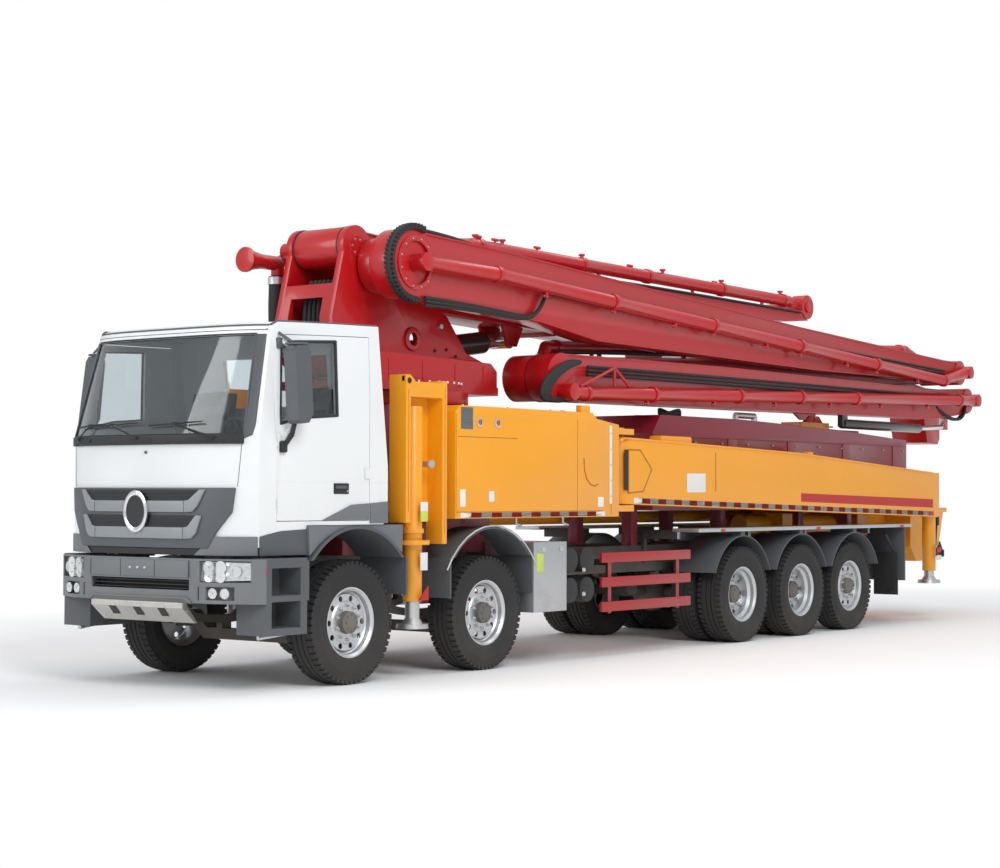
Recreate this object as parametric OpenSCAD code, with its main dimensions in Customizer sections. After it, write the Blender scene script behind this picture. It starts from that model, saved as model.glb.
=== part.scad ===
/* [Stance] */
// Distance from axle 1 forward to the front of the skid plate
front_overhang = 1440; // [1380:10:1520]
// Distance from axle 1 back to the tail plate of the boom
boom_tail = 13760; // [13700:20:14200]
// Width over the cab and the body boxes
body_w = 2490; // [2440:10:2550]

/* [Axles and wheels] */
// Distance from axle 1 back to axle 2
axle_2_back = 1920; // [1900:10:1950]
// Distance from axle 1 back to axle 3
axle_3_back = 6580; // [6500:10:6640]
// Distance between axles 3, 4 and 5
bogie_pitch = 1350; // [1340:5:1400]
// Outer radius of a tyre
tyre_r = 538; // [525:1:545]
// Width of a tyre
tyre_w = 312; // [295:1:318]
// Radius of the rim where the tyre sits
bead_r = 288; // [280:1:292]
// Lateral place of a single tyre's outer face
single_face_y = 1180; // [1170:1:1190]
// Lateral place of the outer twin tyre's outer face
twin_face_y = 1245; // [1235:1:1250]
// Clear space between twin tyres
twin_gap = 36; // [30:1:50]
// Radius of a front spindle
spindle_r = 45; // [40:1:50]
// Lateral place of the steering kingpins
kingpin_y = 890; // [880:1:900]
// Radius of a kingpin
kingpin_r = 26; // [22:1:30]
// Running clearance at pins and spindles
run_clear = 0.06; // [0.04:0.01:0.09]

/* [Frame] */
// Height of the underside of the frame rails
rail_z = 800; // [790:5:830]
// Depth of a frame rail
rail_h = 290; // [270:5:300]
// Width of a frame rail's flange
rail_flange = 80; // [70:1:90]
// Thickness of a frame rail
rail_t = 10; // [8:0.5:12]
// Lateral place of the outside of a frame rail
rail_y = 430; // [420:5:440]
// Distance from axle 1 back to the end of the rails
rail_end = 11350; // [11300:10:11450]
// Height of the underside of a steered axle's leaf spring
spring_low_z = 480; // [475:1:500]
// Height of the underside of a driven axle's leaf spring
spring_rear_z = 640; // [625:5:650]
// Thickness of a leaf spring pack
spring_t = 70; // [60:2:76]

/* [Cab] */
// Thickness of the cab's walls and doors
cab_wall = 45; // [40:1:50]
// Distance from axle 1 forward to the cab's front panel
cab_front = 1395; // [1390:5:1400]
// Distance from axle 1 back to the cab's rear wall at the floor
cab_rear = 380; // [360:5:390]
// Height of the cab's floor
cab_floor_z = 1390; // [1380:5:1420]
// Height of the roof's rear edge
cab_roof_z = 3125; // [3100:5:3150]
// Height of the windscreen's lower edge
screen_low_z = 2150; // [2130:5:2170]
// Height of the windscreen's upper edge
screen_top_z = 2990; // [2970:5:3010]
// Thickness of the glass
glass_t = 8; // [6:0.5:10]
// Gap round a door
door_gap = 6; // [5.5:0.5:8]
// Height of the cab's tilt axis
tilt_z = 1165; // [1150:5:1175]
// Distance from axle 1 forward to the cab's tilt axis
tilt_x = 1360; // [1355:1:1370]
// Radius of the cab's tilt pins
tilt_pin_r = 16; // [14:1:18]

/* [Bumper] */
// Height of the bumper's underside
bumper_low_z = 745; // [735:5:760]
// Height of the bumper's upper edge
bumper_top_z = 1115; // [1100:5:1120]
// Depth of the bumper's outer corner, front to back
bumper_corner = 265; // [260:1:270]
// Lateral place of a headlamp's centre
lamp_y = 894; // [880:2:910]
// Height of a headlamp's centre
lamp_z = 1010; // [1000:5:1020]

/* [Boom] */
// Distance from axle 1 back to the boom's root hinge
root_x = 960; // [940:10:980]
// Height of the boom's root hinge
root_z = 3975; // [3950:5:3990]
// Distance from axle 1 back to hinge 1, at the tail
hinge_1_x = 13400; // [13380:10:13420]
// Height of hinge 1
hinge_1_z = 2980; // [2970:5:2990]
// Distance from axle 1 back to hinge 2, low at the front
hinge_2_x = 3560; // [3520:10:3600]
// Height of hinge 2
hinge_2_z = 2850; // [2845:5:2860]
// Distance from axle 1 back to hinge 3, high at the tail
hinge_3_x = 13150; // [13130:10:13170]
// Height of hinge 3
hinge_3_z = 3360; // [3355:5:3370]
// Distance from axle 1 back to hinge 4, high at the front
hinge_4_x = 1200; // [1180:10:1220]
// Height of hinge 4
hinge_4_z = 3805; // [3795:5:3815]
// Distance from axle 1 back to hinge 5, on top
hinge_5_x = 9300; // [9200:20:9400]
// Height of hinge 5
hinge_5_z = 4010; // [4000:5:4020]
// Outer radius of the delivery pipe
pipe_r = 70; // [66:1:74]
// Thickness of an arm's upper and lower flange plates
flange_t = 16; // [12:1:20]
// How far a web stands back from its flange's edge
web_inset = 14; // [10:1:18]
// Radius of the hinge pins
pin_r = 55; // [50:1:60]

/* [Turret] */
// Distance from axle 1 back to the slewing axis
slew_x = 1950; // [1930:10:1970]
// Radius of the slewing ring
slew_r = 720; // [700:5:740]
// Height of the top of the pedestal
pedestal_z = 2520; // [2510:5:2530]
// Thickness of the turret's side plates
turret_plate = 70; // [60:2:78]
// Lateral place of the outside of a turret side plate
turret_y = 360; // [356:1:362]
// Radius of the lift cylinder's barrel
lift_barrel_r = 115; // [105:1:120]
// Radius of the lift cylinder's rod
lift_rod_r = 72; // [66:1:78]

/* [Outriggers] */
// Radius of a jack's outer tube
jack_tube_r = 88; // [84:1:92]
// Radius of a jack's sliding leg
jack_leg_r = 66; // [62:1:70]
// Radius of a jack's foot
jack_foot_r = 150; // [130:2:156]
// Distance from axle 1 back to the front jacks
front_jack_x = 850; // [842:2:858]
// Distance from axle 1 back to the rear jacks
rear_jack_x = 11670; // [11640:10:11700]
// Lateral place of the jacks
jack_y = 1140; // [1130:2:1146]
// Distance from axle 1 back to the rear arms' pivots
arm_pivot_x = 4300; // [4280:10:4320]
// Lateral place of the rear arms' pivots
arm_pivot_y = 1080; // [1075:1:1085]
// Width of a rear arm
arm_w = 300; // [290:2:310]

/* [Body] */
// Height of the underside of the front body boxes
box_low_z = 1430; // [1420:5:1450]
// Height of the top of the front body boxes
box_top_z = 2480; // [2470:5:2490]
// Distance from axle 1 back to the front body boxes
box_front = 1340; // [1330:5:1350]
// Distance from axle 1 back to the end of the front body boxes
box_rear = 4040; // [4020:5:4050]
// Lateral place of the inside of the front body boxes
box_in_y = 905; // [890:5:910]
// Height of the walkway's top
walk_z = 1285; // [1270:5:1300]
// Distance from axle 1 back to the walkway
walk_front = 5600; // [5560:10:5640]
// Distance from axle 1 back to the end of the walkway
walk_rear = 10830; // [10800:10:10900]
// Distance from axle 1 back to the hopper
hopper_front = 11900; // [11880:10:11950]
// Distance from axle 1 back to the hopper's rear lip
hopper_rear = 12950; // [12900:10:13000]
// Half width of the hopper
hopper_y = 700; // [680:5:720]
// Height of the hopper's upper rim
hopper_top_z = 1480; // [1460:5:1500]
// Thickness of the hopper's walls
hopper_t = 12; // [10:1:14]

/* [Hidden] */
$fn = 40;
axle_x = (front_overhang + boom_tail) / 2 - front_overhang;
axle_4_back = axle_3_back + bogie_pitch;
axle_5_back = axle_4_back + bogie_pitch;
half_w = body_w / 2;
cab_w = body_w;
// Half widths of the windscreen at its foot and at its top
screen_low_y = half_w - 115;
screen_top_y = half_w - 155;
bumper_face = front_overhang - 20;
step_front = bumper_face - bumper_corner - 5;
walk_t = 40;
lug_y = [rail_y - 70, rail_y - 10];
// Gap at a seat between two pieces
seat_gap = 0.3;
rail_top = rail_z + rail_h;

// Helpers: b is the distance behind axle 1, y the lateral place, z the height
module block(b0, b1, y0, y1, z0, z1) {
  translate([axle_x - b1, y0, z0])
    cube([b1 - b0, y1 - y0, z1 - z0]);
}
module both_sides() {
  children();
  mirror([0, 1, 0])
    children();
}
// A drawing in b and z, drawn out sideways from y0 to y1
module side_form(y0, y1) {
  translate([axle_x, y1, 0])
    rotate([90, 0, 0])
      mirror([1, 0, 0])
        linear_extrude(y1 - y0)
          children();
}
// A drawing in y and z, drawn out backwards from b0 to b1
module cross_form(b0, b1) {
  translate([axle_x - b1, 0, 0])
    rotate([90, 0, 90])
      linear_extrude(b1 - b0)
        children();
}
// A drawing in b and y, drawn out upwards from z0 to z1
module plan_form(z0, z1) {
  translate([axle_x, 0, z0])
    mirror([1, 0, 0])
      linear_extrude(z1 - z0)
        children();
}
module cross_rod(b, z, y0, y1, r) {
  translate([axle_x - b, y1, z])
    rotate([90, 0, 0])
      cylinder(r = r, h = y1 - y0);
}
module upright(b, y, z0, z1, r) {
  translate([axle_x - b, y, z0])
    cylinder(r = r, h = z1 - z0);
}
module spot(b, z, r) {
  translate([b, z])
    circle(r = r);
}
// A round bar between two places, each [b, y, z]
module bar(from, to, r) {
  p = [axle_x - from[0], from[1], from[2]];
  q = [axle_x - to[0], to[1], to[2]];
  d = q - p;
  len = norm(d);
  translate(p)
    rotate([0, acos(d[2] / len), atan2(d[1], d[0])])
      cylinder(r = r, h = len);
}
// A pipe through a list of places, with a round elbow at each bend
module pipe_run(places, r) {
  for (i = [0 : len(places) - 2]) {
    bar(places[i], places[i + 1], r);
  }
  for (p = places) {
    translate([axle_x - p[0], p[1], p[2]])
      sphere(r = r * 1.03);
  }
}
function between(p, q, t) = p + (q - p) * t;
function unit(v) = v / norm(v);
// A long pipe of nearly straight lengths, with a coupling collar at each joint
module coupled_pipe(places, r) {
  for (i = [0 : len(places) - 2]) {
    bar(places[i], places[i + 1], r);
  }
  for (i = [1 : len(places) - 2]) {
    along = unit(places[i + 1] - places[i - 1]) * 32;
    bar(places[i] - along, places[i] + along, r + 12);
  }
}
// Clamp rings along one straight of pipe, at shares of its length
module clamps(from, to, shares, r) {
  step = (to - from) / norm(to - from) * 34;
  for (t = shares) {
    bar(between(from, to, t) - step, between(from, to, t) + step, r);
  }
}

// Frame, engine and axles
module frame_rails() {
  color("dimgray") {
    both_sides() {
      difference() {
        block(-1150, rail_end, rail_y - rail_flange, rail_y, rail_z, rail_top);
        block(-1151, rail_end + 1, rail_y - rail_flange - 1, rail_y - rail_t,
              rail_z + rail_t, rail_top - rail_t);
      }
    }
    // Cross members, columns: distance behind axle 1
    for (b = [-1100, 900, 3300, 4500, 5700, 7200, 8600, 10200, 11250]) {
      cross_form(b, b + 80)
        difference() {
          translate([-rail_y + rail_t, rail_z + 40])
            square([2 * (rail_y - rail_t), rail_h - 80]);
          translate([-rail_y + rail_flange + 20, rail_z + 90])
            square([2 * (rail_y - rail_flange - 20), rail_h - 180]);
        }
    }
    // Lugs that hold the cab's tilt pins, out over the bumper's upper edge
    both_sides()
      side_form(lug_y[0], lug_y[1])
        difference() {
          union() {
            polygon([[-1150, rail_top - 1], [-1050, rail_top - 1], [-1050, rail_top + 40],
                     [-tilt_x + 10, tilt_z + 26], [-tilt_x - 10, tilt_z - 28], [-1300, tilt_z - 40],
                     [-1170, rail_top + 10]]);
            spot(-tilt_x, tilt_z, 30);
          }
          spot(-tilt_x, tilt_z, tilt_pin_r + run_clear);
        }
    // Leaf springs under each rail, columns: axle place, height of the underside
    both_sides() {
      for (row = [[0, spring_low_z], [axle_2_back, spring_low_z], [axle_3_back, spring_rear_z],
                  [axle_4_back, spring_rear_z], [axle_5_back, spring_low_z]]) {
        side_form(rail_y - 75, rail_y - 5)
          difference() {
            spot(row[0], row[1] + spring_r, spring_r);
            spot(row[0], row[1] + spring_r + spring_t, spring_r);
            translate([row[0] - 3000, 0])
              square([3000 - spring_half, 6000]);
            translate([row[0] + spring_half, 0])
              square([3000, 6000]);
          }
        for (e = [-spring_half + 30, spring_half - 80]) {
          block(row[0] + e, row[0] + e + 50, rail_y - 75, rail_y - 5, row[1] + 100, rail_z + rail_t);
        }
      }
    }
  }
}
module engine_block() {
  color("gray")
    union() {
      block(-620, 420, -330, 330, 780, 1340);
      block(419, 690, -210, 210, 840, rail_top - 10);
      // Engine feet onto the rails' webs
      both_sides()
        for (b = [-500, 200]) {
          block(b, b + 120, 329, rail_y - rail_t - seat_gap, rail_z + 120, rail_z + 200);
        }
    }
}
module front_axle_beams() {
  color("dimgray")
    for (b = [0, axle_2_back, axle_5_back]) {
      cross_form(b - 50, b + 50)
        polygon([[-860, tyre_r - 70], [-860, tyre_r + 45], [-740, tyre_r + 45], [-560, tyre_r - 110],
                 [560, tyre_r - 110], [740, tyre_r + 45], [860, tyre_r + 45], [860, tyre_r - 70],
                 [780, tyre_r - 70], [600, tyre_r - 210], [-600, tyre_r - 210], [-780, tyre_r - 70]]);
      both_sides() {
        block(b - 60, b + 60, rail_y - 75, rail_y - 5, tyre_r - 111, spring_low_z - seat_gap);
        difference() {
          upright(b, kingpin_y, tyre_r - 70, tyre_r + 45, 48);
          upright(b, kingpin_y, tyre_r - 71, tyre_r + 46, kingpin_r + run_clear);
        }
      }
    }
}
spring_r = 2400;
spring_half = 590;
stub_r = spindle_r + 15;
stub_end = twin_face_y - 145;
module rear_axle_housings() {
  color("dimgray")
    for (b = [axle_3_back, axle_4_back]) {
      cross_rod(b, tyre_r, -560, 560, 75);
      cross_rod(b, tyre_r, -stub_end, stub_end, stub_r);
      translate([axle_x - b, 0, tyre_r])
        sphere(r = 230);
      bar([b - 420, 0, tyre_r + 40], [b, 0, tyre_r], 70);
      both_sides()
        block(b - 60, b + 60, rail_y - 75, rail_y - 5, tyre_r, spring_rear_z - seat_gap);
    }
}

// Steered axles: a knuckle turns on its kingpin and carries the spindle
spindle_end = single_face_y - 60;
module knuckle(b, side) {
  mirror([0, side < 0 ? 1 : 0, 0])
    color("slategray") {
      upright(b, kingpin_y, tyre_r - 110, tyre_r + 85, kingpin_r);
      block(b - 45, b + 45, kingpin_y - 45, kingpin_y + 60, tyre_r + 50, tyre_r + 85);
      block(b - 45, b + 45, kingpin_y - 45, kingpin_y + 60, tyre_r - 110, tyre_r - 75);
      block(b - 45, b + 45, kingpin_y + 53, kingpin_y + 78, tyre_r - 110, tyre_r + 85);
      cross_rod(b, tyre_r, kingpin_y + 70, spindle_end, spindle_r);
    }
}
// Half of a tyre's section as [radius, place across], outer half first
module tyre(b, face_y) {
  h = tyre_w / 2;
  translate([axle_x - b, face_y - h, tyre_r])
    rotate([90, 0, 0])
      rotate_extrude($fn = 48)
        polygon([[bead_r + 0.3, -h + 40], [bead_r + 60, -h + 8], [bead_r + 130, -h],
                 [tyre_r - 55, -h + 6], [tyre_r - 14, -h + 30], [tyre_r, -h + 62],
                 [tyre_r, h - 62], [tyre_r - 14, h - 30], [tyre_r - 55, h - 6],
                 [bead_r + 130, h], [bead_r + 60, h - 8], [bead_r + 0.3, h - 40]]);
}
// A rim with its disc: dish is how far the disc lies inside the outer face,
// hub the hub's inner and outer end, bore_end the outer end of its bore
module rim(b, face_y, dish, hub, bore_end, bore_r) {
  mid = face_y - tyre_w / 2;
  y0 = mid - tyre_w / 2 + 30;
  y1 = mid + tyre_w / 2 - 30;
  difference() {
    union() {
      difference() {
        cross_rod(b, tyre_r, y0, y1, bead_r);
        cross_rod(b, tyre_r, y0 - 1, y1 + 1, bead_r - 14);
      }
      cross_rod(b, tyre_r, y1 - dish - 14, y1 - dish, bead_r - 6);
      cross_rod(b, tyre_r, hub[0], hub[1], 112);
      for (a = [18 : 36 : 342]) {
        cross_rod(b + 167 * cos(a), tyre_r + 167 * sin(a), y1 - dish - 4, y1 - dish + 26, 15);
      }
    }
    cross_rod(b, tyre_r, hub[0] - 1, bore_end, bore_r);
    for (a = [0 : 36 : 324]) {
      cross_rod(b + 225 * cos(a), tyre_r + 225 * sin(a), y1 - dish - 20, y1 - dish + 1, 24);
    }
  }
}
module single_wheel(b, side) {
  mirror([0, side < 0 ? 1 : 0, 0]) {
    color("black")
      tyre(b, single_face_y);
    color("silver")
      rim(b, single_face_y, 55, [kingpin_y + 85, single_face_y - 15], spindle_end + 15,
          spindle_r + run_clear);
  }
}
module twin_wheel(b, side) {
  inner_face = twin_face_y - tyre_w - twin_gap;
  mirror([0, side < 0 ? 1 : 0, 0]) {
    color("black") {
      tyre(b, twin_face_y);
      tyre(b, inner_face);
    }
    color("silver") {
      rim(b, twin_face_y, 185, [twin_face_y - 262, stub_end + 35], stub_end + 5, stub_r + run_clear);
      rim(b, inner_face, 60, [inner_face - 262, twin_face_y - 261], twin_face_y - 260, stub_r + run_clear);
    }
  }
}

// Chassis side equipment
module chassis_tanks() {
  color("silver") {
    both_sides()
      block(2570, 3120, 640, half_w - 5, 510, 1190);
    both_sides()
      block(2600, 3080, rail_y, 641, 880, 1020);
  }
  color("black")
    both_sides() {
      // Air tanks, columns: distance behind axle 1, height of centre
      for (row = [[3260, 700], [3260, 1000], [3550, 700], [3550, 1000]]) {
        cross_rod(row[0], row[1], 620, 1190, 125);
      }
      block(3130, 3690, 560, 622, 600, 1140);
      block(3230, 3630, rail_y, 562, 900, 1000);
    }
}
guard_rows = [510, 760, 1010];
module side_guards() {
  color("firebrick")
    both_sides() {
      for (z = guard_rows) {
        block(3800, 5500, half_w - 75, half_w - 45, z - 50, z + 50);
      }
      for (b = [3950, 5250]) {
        block(b, b + 60, half_w - 105, half_w - 74, 440, 1060);
        block(b, b + 60, rail_y, half_w - 104, 930, 990);
      }
    }
}
module wheel_arch(b, half_len, top_z, low_z, y0, y1, t) {
  side_form(y0, y1)
    difference() {
      union() {
        translate([b - half_len - t, low_z])
          square([2 * half_len + 2 * t, top_z - 260 - low_z]);
        intersection() {
          translate([b - half_len - t, top_z - 262])
            square([2 * half_len + 2 * t, 262 + t]);
          spot(b, top_z - 760, 760 + t);
        }
      }
      translate([b - half_len, low_z - 1])
        square([2 * half_len, top_z - 262 - low_z + 1]);
      intersection() {
        translate([b - half_len, top_z - 265])
          square([2 * half_len, 265]);
        spot(b, top_z - 760, 760);
      }
    }
}
module fenders() {
  color("darkslategray")
    both_sides() {
      wheel_arch(0, 635, 1355, 760, 700, half_w, 26);
      wheel_arch(axle_2_back, 625, 1330, 700, 860, half_w - 8, 20);
      // Stays to the frame, columns: distance behind axle 1, inner end of the arch
      for (row = [[-661, 702], [635, 702], [axle_2_back - 645, 862], [axle_2_back + 625, 862]]) {
        block(row[0], row[0] + 20, rail_y, row[1], 1000, 1060);
      }
      // Entry steps in front of axle 1
      difference() {
        block(-step_front, -660, half_w - 345, half_w, 480, 1120);
        block(-step_front + 60, -740, half_w - 285, half_w + 1, 540, 760);
        block(-step_front + 60, -740, half_w - 245, half_w + 1, 810, 1040);
      }
      // Mudguards over axles 3, 4 and 5
      for (b = [axle_3_back, axle_4_back, axle_5_back]) {
        side_form(700, half_w - 15)
          difference() {
            spot(b, tyre_r, 662);
            spot(b, tyre_r, 650);
            translate([b - 1000, -1000])
              square([2000, 1000 + tyre_r + 255]);
            translate([b - 1000, walk_z - walk_t])
              square([2000, 1000]);
          }
        block(b - 40, b + 40, 910, half_w - 20, tyre_r + 655, walk_z - walk_t - seat_gap);
      }
      block(walk_rear - 190, walk_rear - 160, 700, half_w - 20, 560, walk_z - walk_t - seat_gap);
    }
}
module bumper_outline(inset) {
  c = bumper_face - inset;
  w = cab_w / 2 - inset;
  flat_y = w + inset - 395;
  polygon([[-c, -flat_y], [-c, flat_y], [-c + 90, w - 60], [-c + 190, w], [-c + bumper_corner, w],
           [-c + bumper_corner, -w], [-c + 190, -w], [-c + 90, -w + 60]]);
}
// The bumper's shell between two depths behind its face
module bumper_shell(near, far, z0, z1) {
  plan_form(z0, z1)
    difference() {
      bumper_outline(near);
      bumper_outline(far);
    }
}
module bumper() {
  color("gray")
    difference() {
      plan_form(bumper_low_z, bumper_top_z)
        bumper_outline(0);
      plan_form(bumper_low_z - 1, bumper_top_z + 1)
        polygon([[-bumper_face + 90, -half_w + 405], [-bumper_face + 90, half_w - 405],
                 [-bumper_face + 190, cab_w / 2 - 70], [-600, cab_w / 2 - 70],
                 [-600, -cab_w / 2 + 70], [-bumper_face + 190, -cab_w / 2 + 70]]);
      // Lower air slot and the lamp recesses
      block(-bumper_face - 1, -bumper_face + 91, -600, 600, 850, 940);
      both_sides() {
        intersection() {
          bumper_shell(-2, lamp_depth + seat_gap, lamp_z - 88, lamp_z + 88);
          block(-bumper_face - 5, -1200, lamp_y - 185, lamp_y + 255, lamp_z - 90, lamp_z + 90);
        }
        intersection() {
          bumper_shell(-2, lamp_depth + seat_gap, fog_z - 55, fog_z + 55);
          block(-bumper_face - 5, -1200, lamp_y - 120, lamp_y + 130, fog_z - 60, fog_z + 60);
        }
      }
    }
  // Brackets onto the front ends of the rails
  color("gray")
    both_sides()
      block(-bumper_face + 89, -1150, rail_y - rail_flange, rail_y, 860, 1000);
}
lamp_depth = 60;
fog_z = 830;
module headlamps() {
  color("whitesmoke")
    both_sides() {
      intersection() {
        bumper_shell(6, lamp_depth, lamp_z - 82, lamp_z + 82);
        block(-bumper_face - 5, -1200, lamp_y - 179, lamp_y + 249, lamp_z - 82, lamp_z + 82);
      }
      intersection() {
        bumper_shell(12, lamp_depth, fog_z - 46, fog_z + 46);
        for (y = [lamp_y - 60, lamp_y + 60]) {
          translate([axle_x + 1200, y, fog_z])
            rotate([0, 90, 0])
              cylinder(r = 46, h = bumper_face - 1190);
        }
      }
    }
}
module skid_plate() {
  color("silver") {
    side_form(-560, 560)
      polygon([[-front_overhang, bumper_low_z], [-front_overhang, bumper_low_z - 45],
               [-front_overhang + 150, bumper_low_z - 175], [-front_overhang + 175, bumper_low_z - 175],
               [-front_overhang + 40, bumper_low_z - seat_gap]]);
    for (y = [-400, 0, 400]) {
      block(-front_overhang + 10, -front_overhang + 40, y - 60, y + 60, bumper_low_z - 45,
            bumper_low_z - seat_gap);
    }
  }
}

// Body boxes, pedestal, decks
module front_boxes() {
  color("orange")
    both_sides() {
      side_form(box_in_y, half_w)
        difference() {
          polygon([[box_front, box_low_z], [box_front, box_top_z - 60], [box_front + 60, box_top_z],
                   [3560, box_top_z], [3640, box_top_z - 60], [box_rear, box_top_z - 110],
                   [box_rear, box_low_z]]);
          // Lifting holes through the box
          spot(1700, 2330, 28);
          spot(1980, 2330, 28);
        }
      // Upper and lower ears that hold the rear arm's pivot
      for (z = [[1480, 1545], [2275, 2335]]) {
        plan_form(z[0], z[1])
          difference() {
            union() {
              translate([box_rear - 60, arm_pivot_y - 150])
                square([arm_pivot_x - box_rear + 60, 300]);
              spot(arm_pivot_x, arm_pivot_y, 150);
            }
            spot(arm_pivot_x, arm_pivot_y, pivot_pin_r + run_clear);
          }
      }
      // Top lugs over the hinge
      block(3400, 3560, half_w - 90, half_w - 30, box_top_z - 1, box_top_z + 70);
    }
}
module pedestal() {
  color("firebrick")
    union() {
      upright(slew_x, 0, rail_top, pedestal_z, slew_r - 20);
      block(1300, 2700, -box_in_y, box_in_y, 1500, 1900);
      block(1300, 2700, -600, 600, rail_top, 1500);
      // Cross tube that holds the front outrigger beams
      difference() {
        block(630, 1300, -1000, 1000, beam_z0 - 30, beam_z1 + 30);
        block(beam_left[0] - beam_slack, beam_left[1] + beam_slack, -1001, 1001,
              beam_z0 - beam_slack, beam_z1 + beam_slack);
        block(beam_right[0] - beam_slack, beam_right[1] + beam_slack, -1001, 1001,
              beam_z0 - beam_slack, beam_z1 + beam_slack);
      }
      block(700, 1301, -rail_y, rail_y, rail_top, beam_z0 - 29);
    }
}
beam_z0 = 1500;
beam_z1 = 1860;
beam_slack = seat_gap;
beam_left = [665, 890];
beam_right = [1000, 1225];
module walkway() {
  color("silver")
    both_sides()
      block(walk_front, walk_rear, 905, half_w - 2, walk_z - walk_t, walk_z);
  color("dimgray")
    both_sides()
      for (b = [5700, 7240, 8590, 10250, 10700]) {
        block(b, b + 60, rail_y, 906, walk_z - 120, walk_z - 20);
        block(b, b + 60, rail_y, rail_y + 40, rail_z + 100, walk_z - 21);
      }
}
tank_front = 5300;
tank_rear = 11500;
module tank_section() {
  polygon([[tank_front, 1480], [tank_front, 2330], [tank_front + 160, 2530], [7200, 2530],
           [9600, 2470], [tank_rear, 2380], [tank_rear, 1480]]);
}
module deck_tank() {
  color("maroon") {
    difference() {
      side_form(-840, 840)
        tank_section();
      // Panel recesses along the sides
      both_sides()
        for (b = [5700, 7100, 8500, 9900]) {
          block(b, b + 1200, 828, 841, 1650, 2300);
        }
    }
    // Feet onto the frame
    both_sides()
      for (b = [5500, 7400, 9300, 10600]) {
        block(b, b + 120, 300, rail_y, rail_top, 1481);
      }
  }
  color("silver")
    both_sides()
      pipe_run([[7300, 700, 2420], [7300, 700, 2600], [7730, 700, 2600], [7730, 700, 2420]], 19);
}
module boom_rest() {
  color("goldenrod")
    both_sides()
      side_form(rest_side_y[0], rest_side_y[1])
        difference() {
          translate([9000, 2300])
            square([700, rest_top - 2300]);
          translate([0, seat_gap])
            tank_section();
        }
  color("firebrick")
    side_form(590, 640)
      difference() {
        polygon([[9100, rest_top - 1], [9200, rest_top + 80], [9450, rest_top + 80], [9550, rest_top - 1]]);
        spot(9325, rest_top + 45, 18);
      }
}
rest_top = 2560;
rest_side_y = [350, 650];
module pump_unit() {
  color("darkorange") {
    both_sides()
      cross_bar_x(8300, hopper_front - 80, 150, 1290, 115);
    block(8900, 9150, -rail_y + 5, rail_y - 5, rail_top, 1420);
    block(10900, 11150, -rail_y + 5, rail_y - 5, rail_top, 1420);
    block(11500, hopper_front - 0.3, -330, 330, 900, 1420);
    block(11250, 11501, -330, 330, 1110, 1400);
  }
  color("firebrick") {
    pipe_run([[hopper_front - 250, -585, 1150], [11000, -585, 1385], [2790, -585, 1385]], pipe_r);
    bar([hopper_front - 250, -320, 1150], [hopper_front - 250, -585, 1150], pipe_r);
    bar([2790, -585, 1385], [2700 + seat_gap, -585, 1385], pipe_r);
  }
}
module cross_bar_x(b0, b1, y, z, r) {
  translate([axle_x - b1, y, z])
    rotate([0, 90, 0])
      cylinder(r = r, h = b1 - b0);
}
grate_x = hopper_front + 70;
grate_z = hopper_top_z + 30;
grate_rod_r = 16;
shaft_z = 1080;
shaft_x = 12430;
module hopper_section(inset) {
  polygon([[hopper_front + inset, hopper_top_z + (inset > 0 ? 1 : 0)],
           [hopper_front + inset, 960 + inset], [hopper_front + 180, 760 + inset],
           [hopper_rear - 420, 760 + inset], [hopper_rear - 150 - inset, 1020 + inset],
           [hopper_rear - inset, hopper_top_z + (inset > 0 ? 1 : 0)]]);
}
module hopper() {
  color("orange")
    difference() {
      union() {
        side_form(-hopper_y, hopper_y)
          hopper_section(0);
        block(hopper_front - 30, hopper_rear + 30, -hopper_y - 30, hopper_y + 30,
              hopper_top_z - 60, hopper_top_z);
        both_sides()
          cross_rod(shaft_x, shaft_z, hopper_y - 1, hopper_y + 40, 90);
        // Lugs for the grate's hinge rod
        both_sides()
          side_form(616, 640)
            polygon([[hopper_front - 25, hopper_top_z - 1], [hopper_front - 25, hopper_top_z + 12],
                     [grate_x - 16, grate_z + 32], [grate_x + 16, grate_z + 32],
                     [grate_x + 32, grate_z + 16], [grate_x + 32, grate_z - 16],
                     [grate_x + 16, grate_z - 28], [hopper_front + 11, hopper_top_z - 1]]);
      }
      cross_rod(grate_x, grate_z, -641, 641, grate_rod_r + run_clear);
      side_form(-hopper_y + hopper_t, hopper_y - hopper_t)
        hopper_section(hopper_t);
      cross_rod(shaft_x, shaft_z, -hopper_y - 41, hopper_y + 41, 38);
      // The outlet in the front wall
      translate([axle_x - hopper_front - 60, 0, 1050])
        rotate([0, 90, 0])
          cylinder(r = 105, h = 120);
    }
  color("orange") {
    // Arms that carry the hopper from the frame
    both_sides()
      block(rail_end - 250, hopper_front + 2, 440, 500, 860, 1060);
    both_sides()
      block(rail_end - 250, rail_end - 20, rail_y, 441, 860, 1060);
  }
}
module hopper_grate() {
  color("dimgray") {
    for (y = [-600 : 120 : 600]) {
      block(hopper_front + 100, hopper_rear - 60, y - 6, y + 6, hopper_top_z + 10, hopper_top_z + 46);
    }
    for (b = [hopper_front + 90, 12430, hopper_rear - 70]) {
      block(b, b + 14, -606, 606, hopper_top_z + 10, hopper_top_z + 46);
    }
    cross_rod(grate_x, grate_z, -655, 655, grate_rod_r);
    for (y = [-500, 500]) {
      block(grate_x, hopper_front + 101, y - 20, y + 20, grate_z - 12, grate_z + 12);
    }
  }
}
module agitator() {
  color("dimgray") {
    cross_rod(shaft_x, shaft_z, -hopper_y - 30, hopper_y + 30, 38 - run_clear);
    for (row = [[-560, 0], [-300, 90], [300, 180], [560, 270]]) {
      translate([axle_x - shaft_x, row[0], shaft_z])
        rotate([0, row[1], 0])
          translate([-30, -14, 30])
            cube([60, 28, 200]);
    }
  }
}

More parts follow.
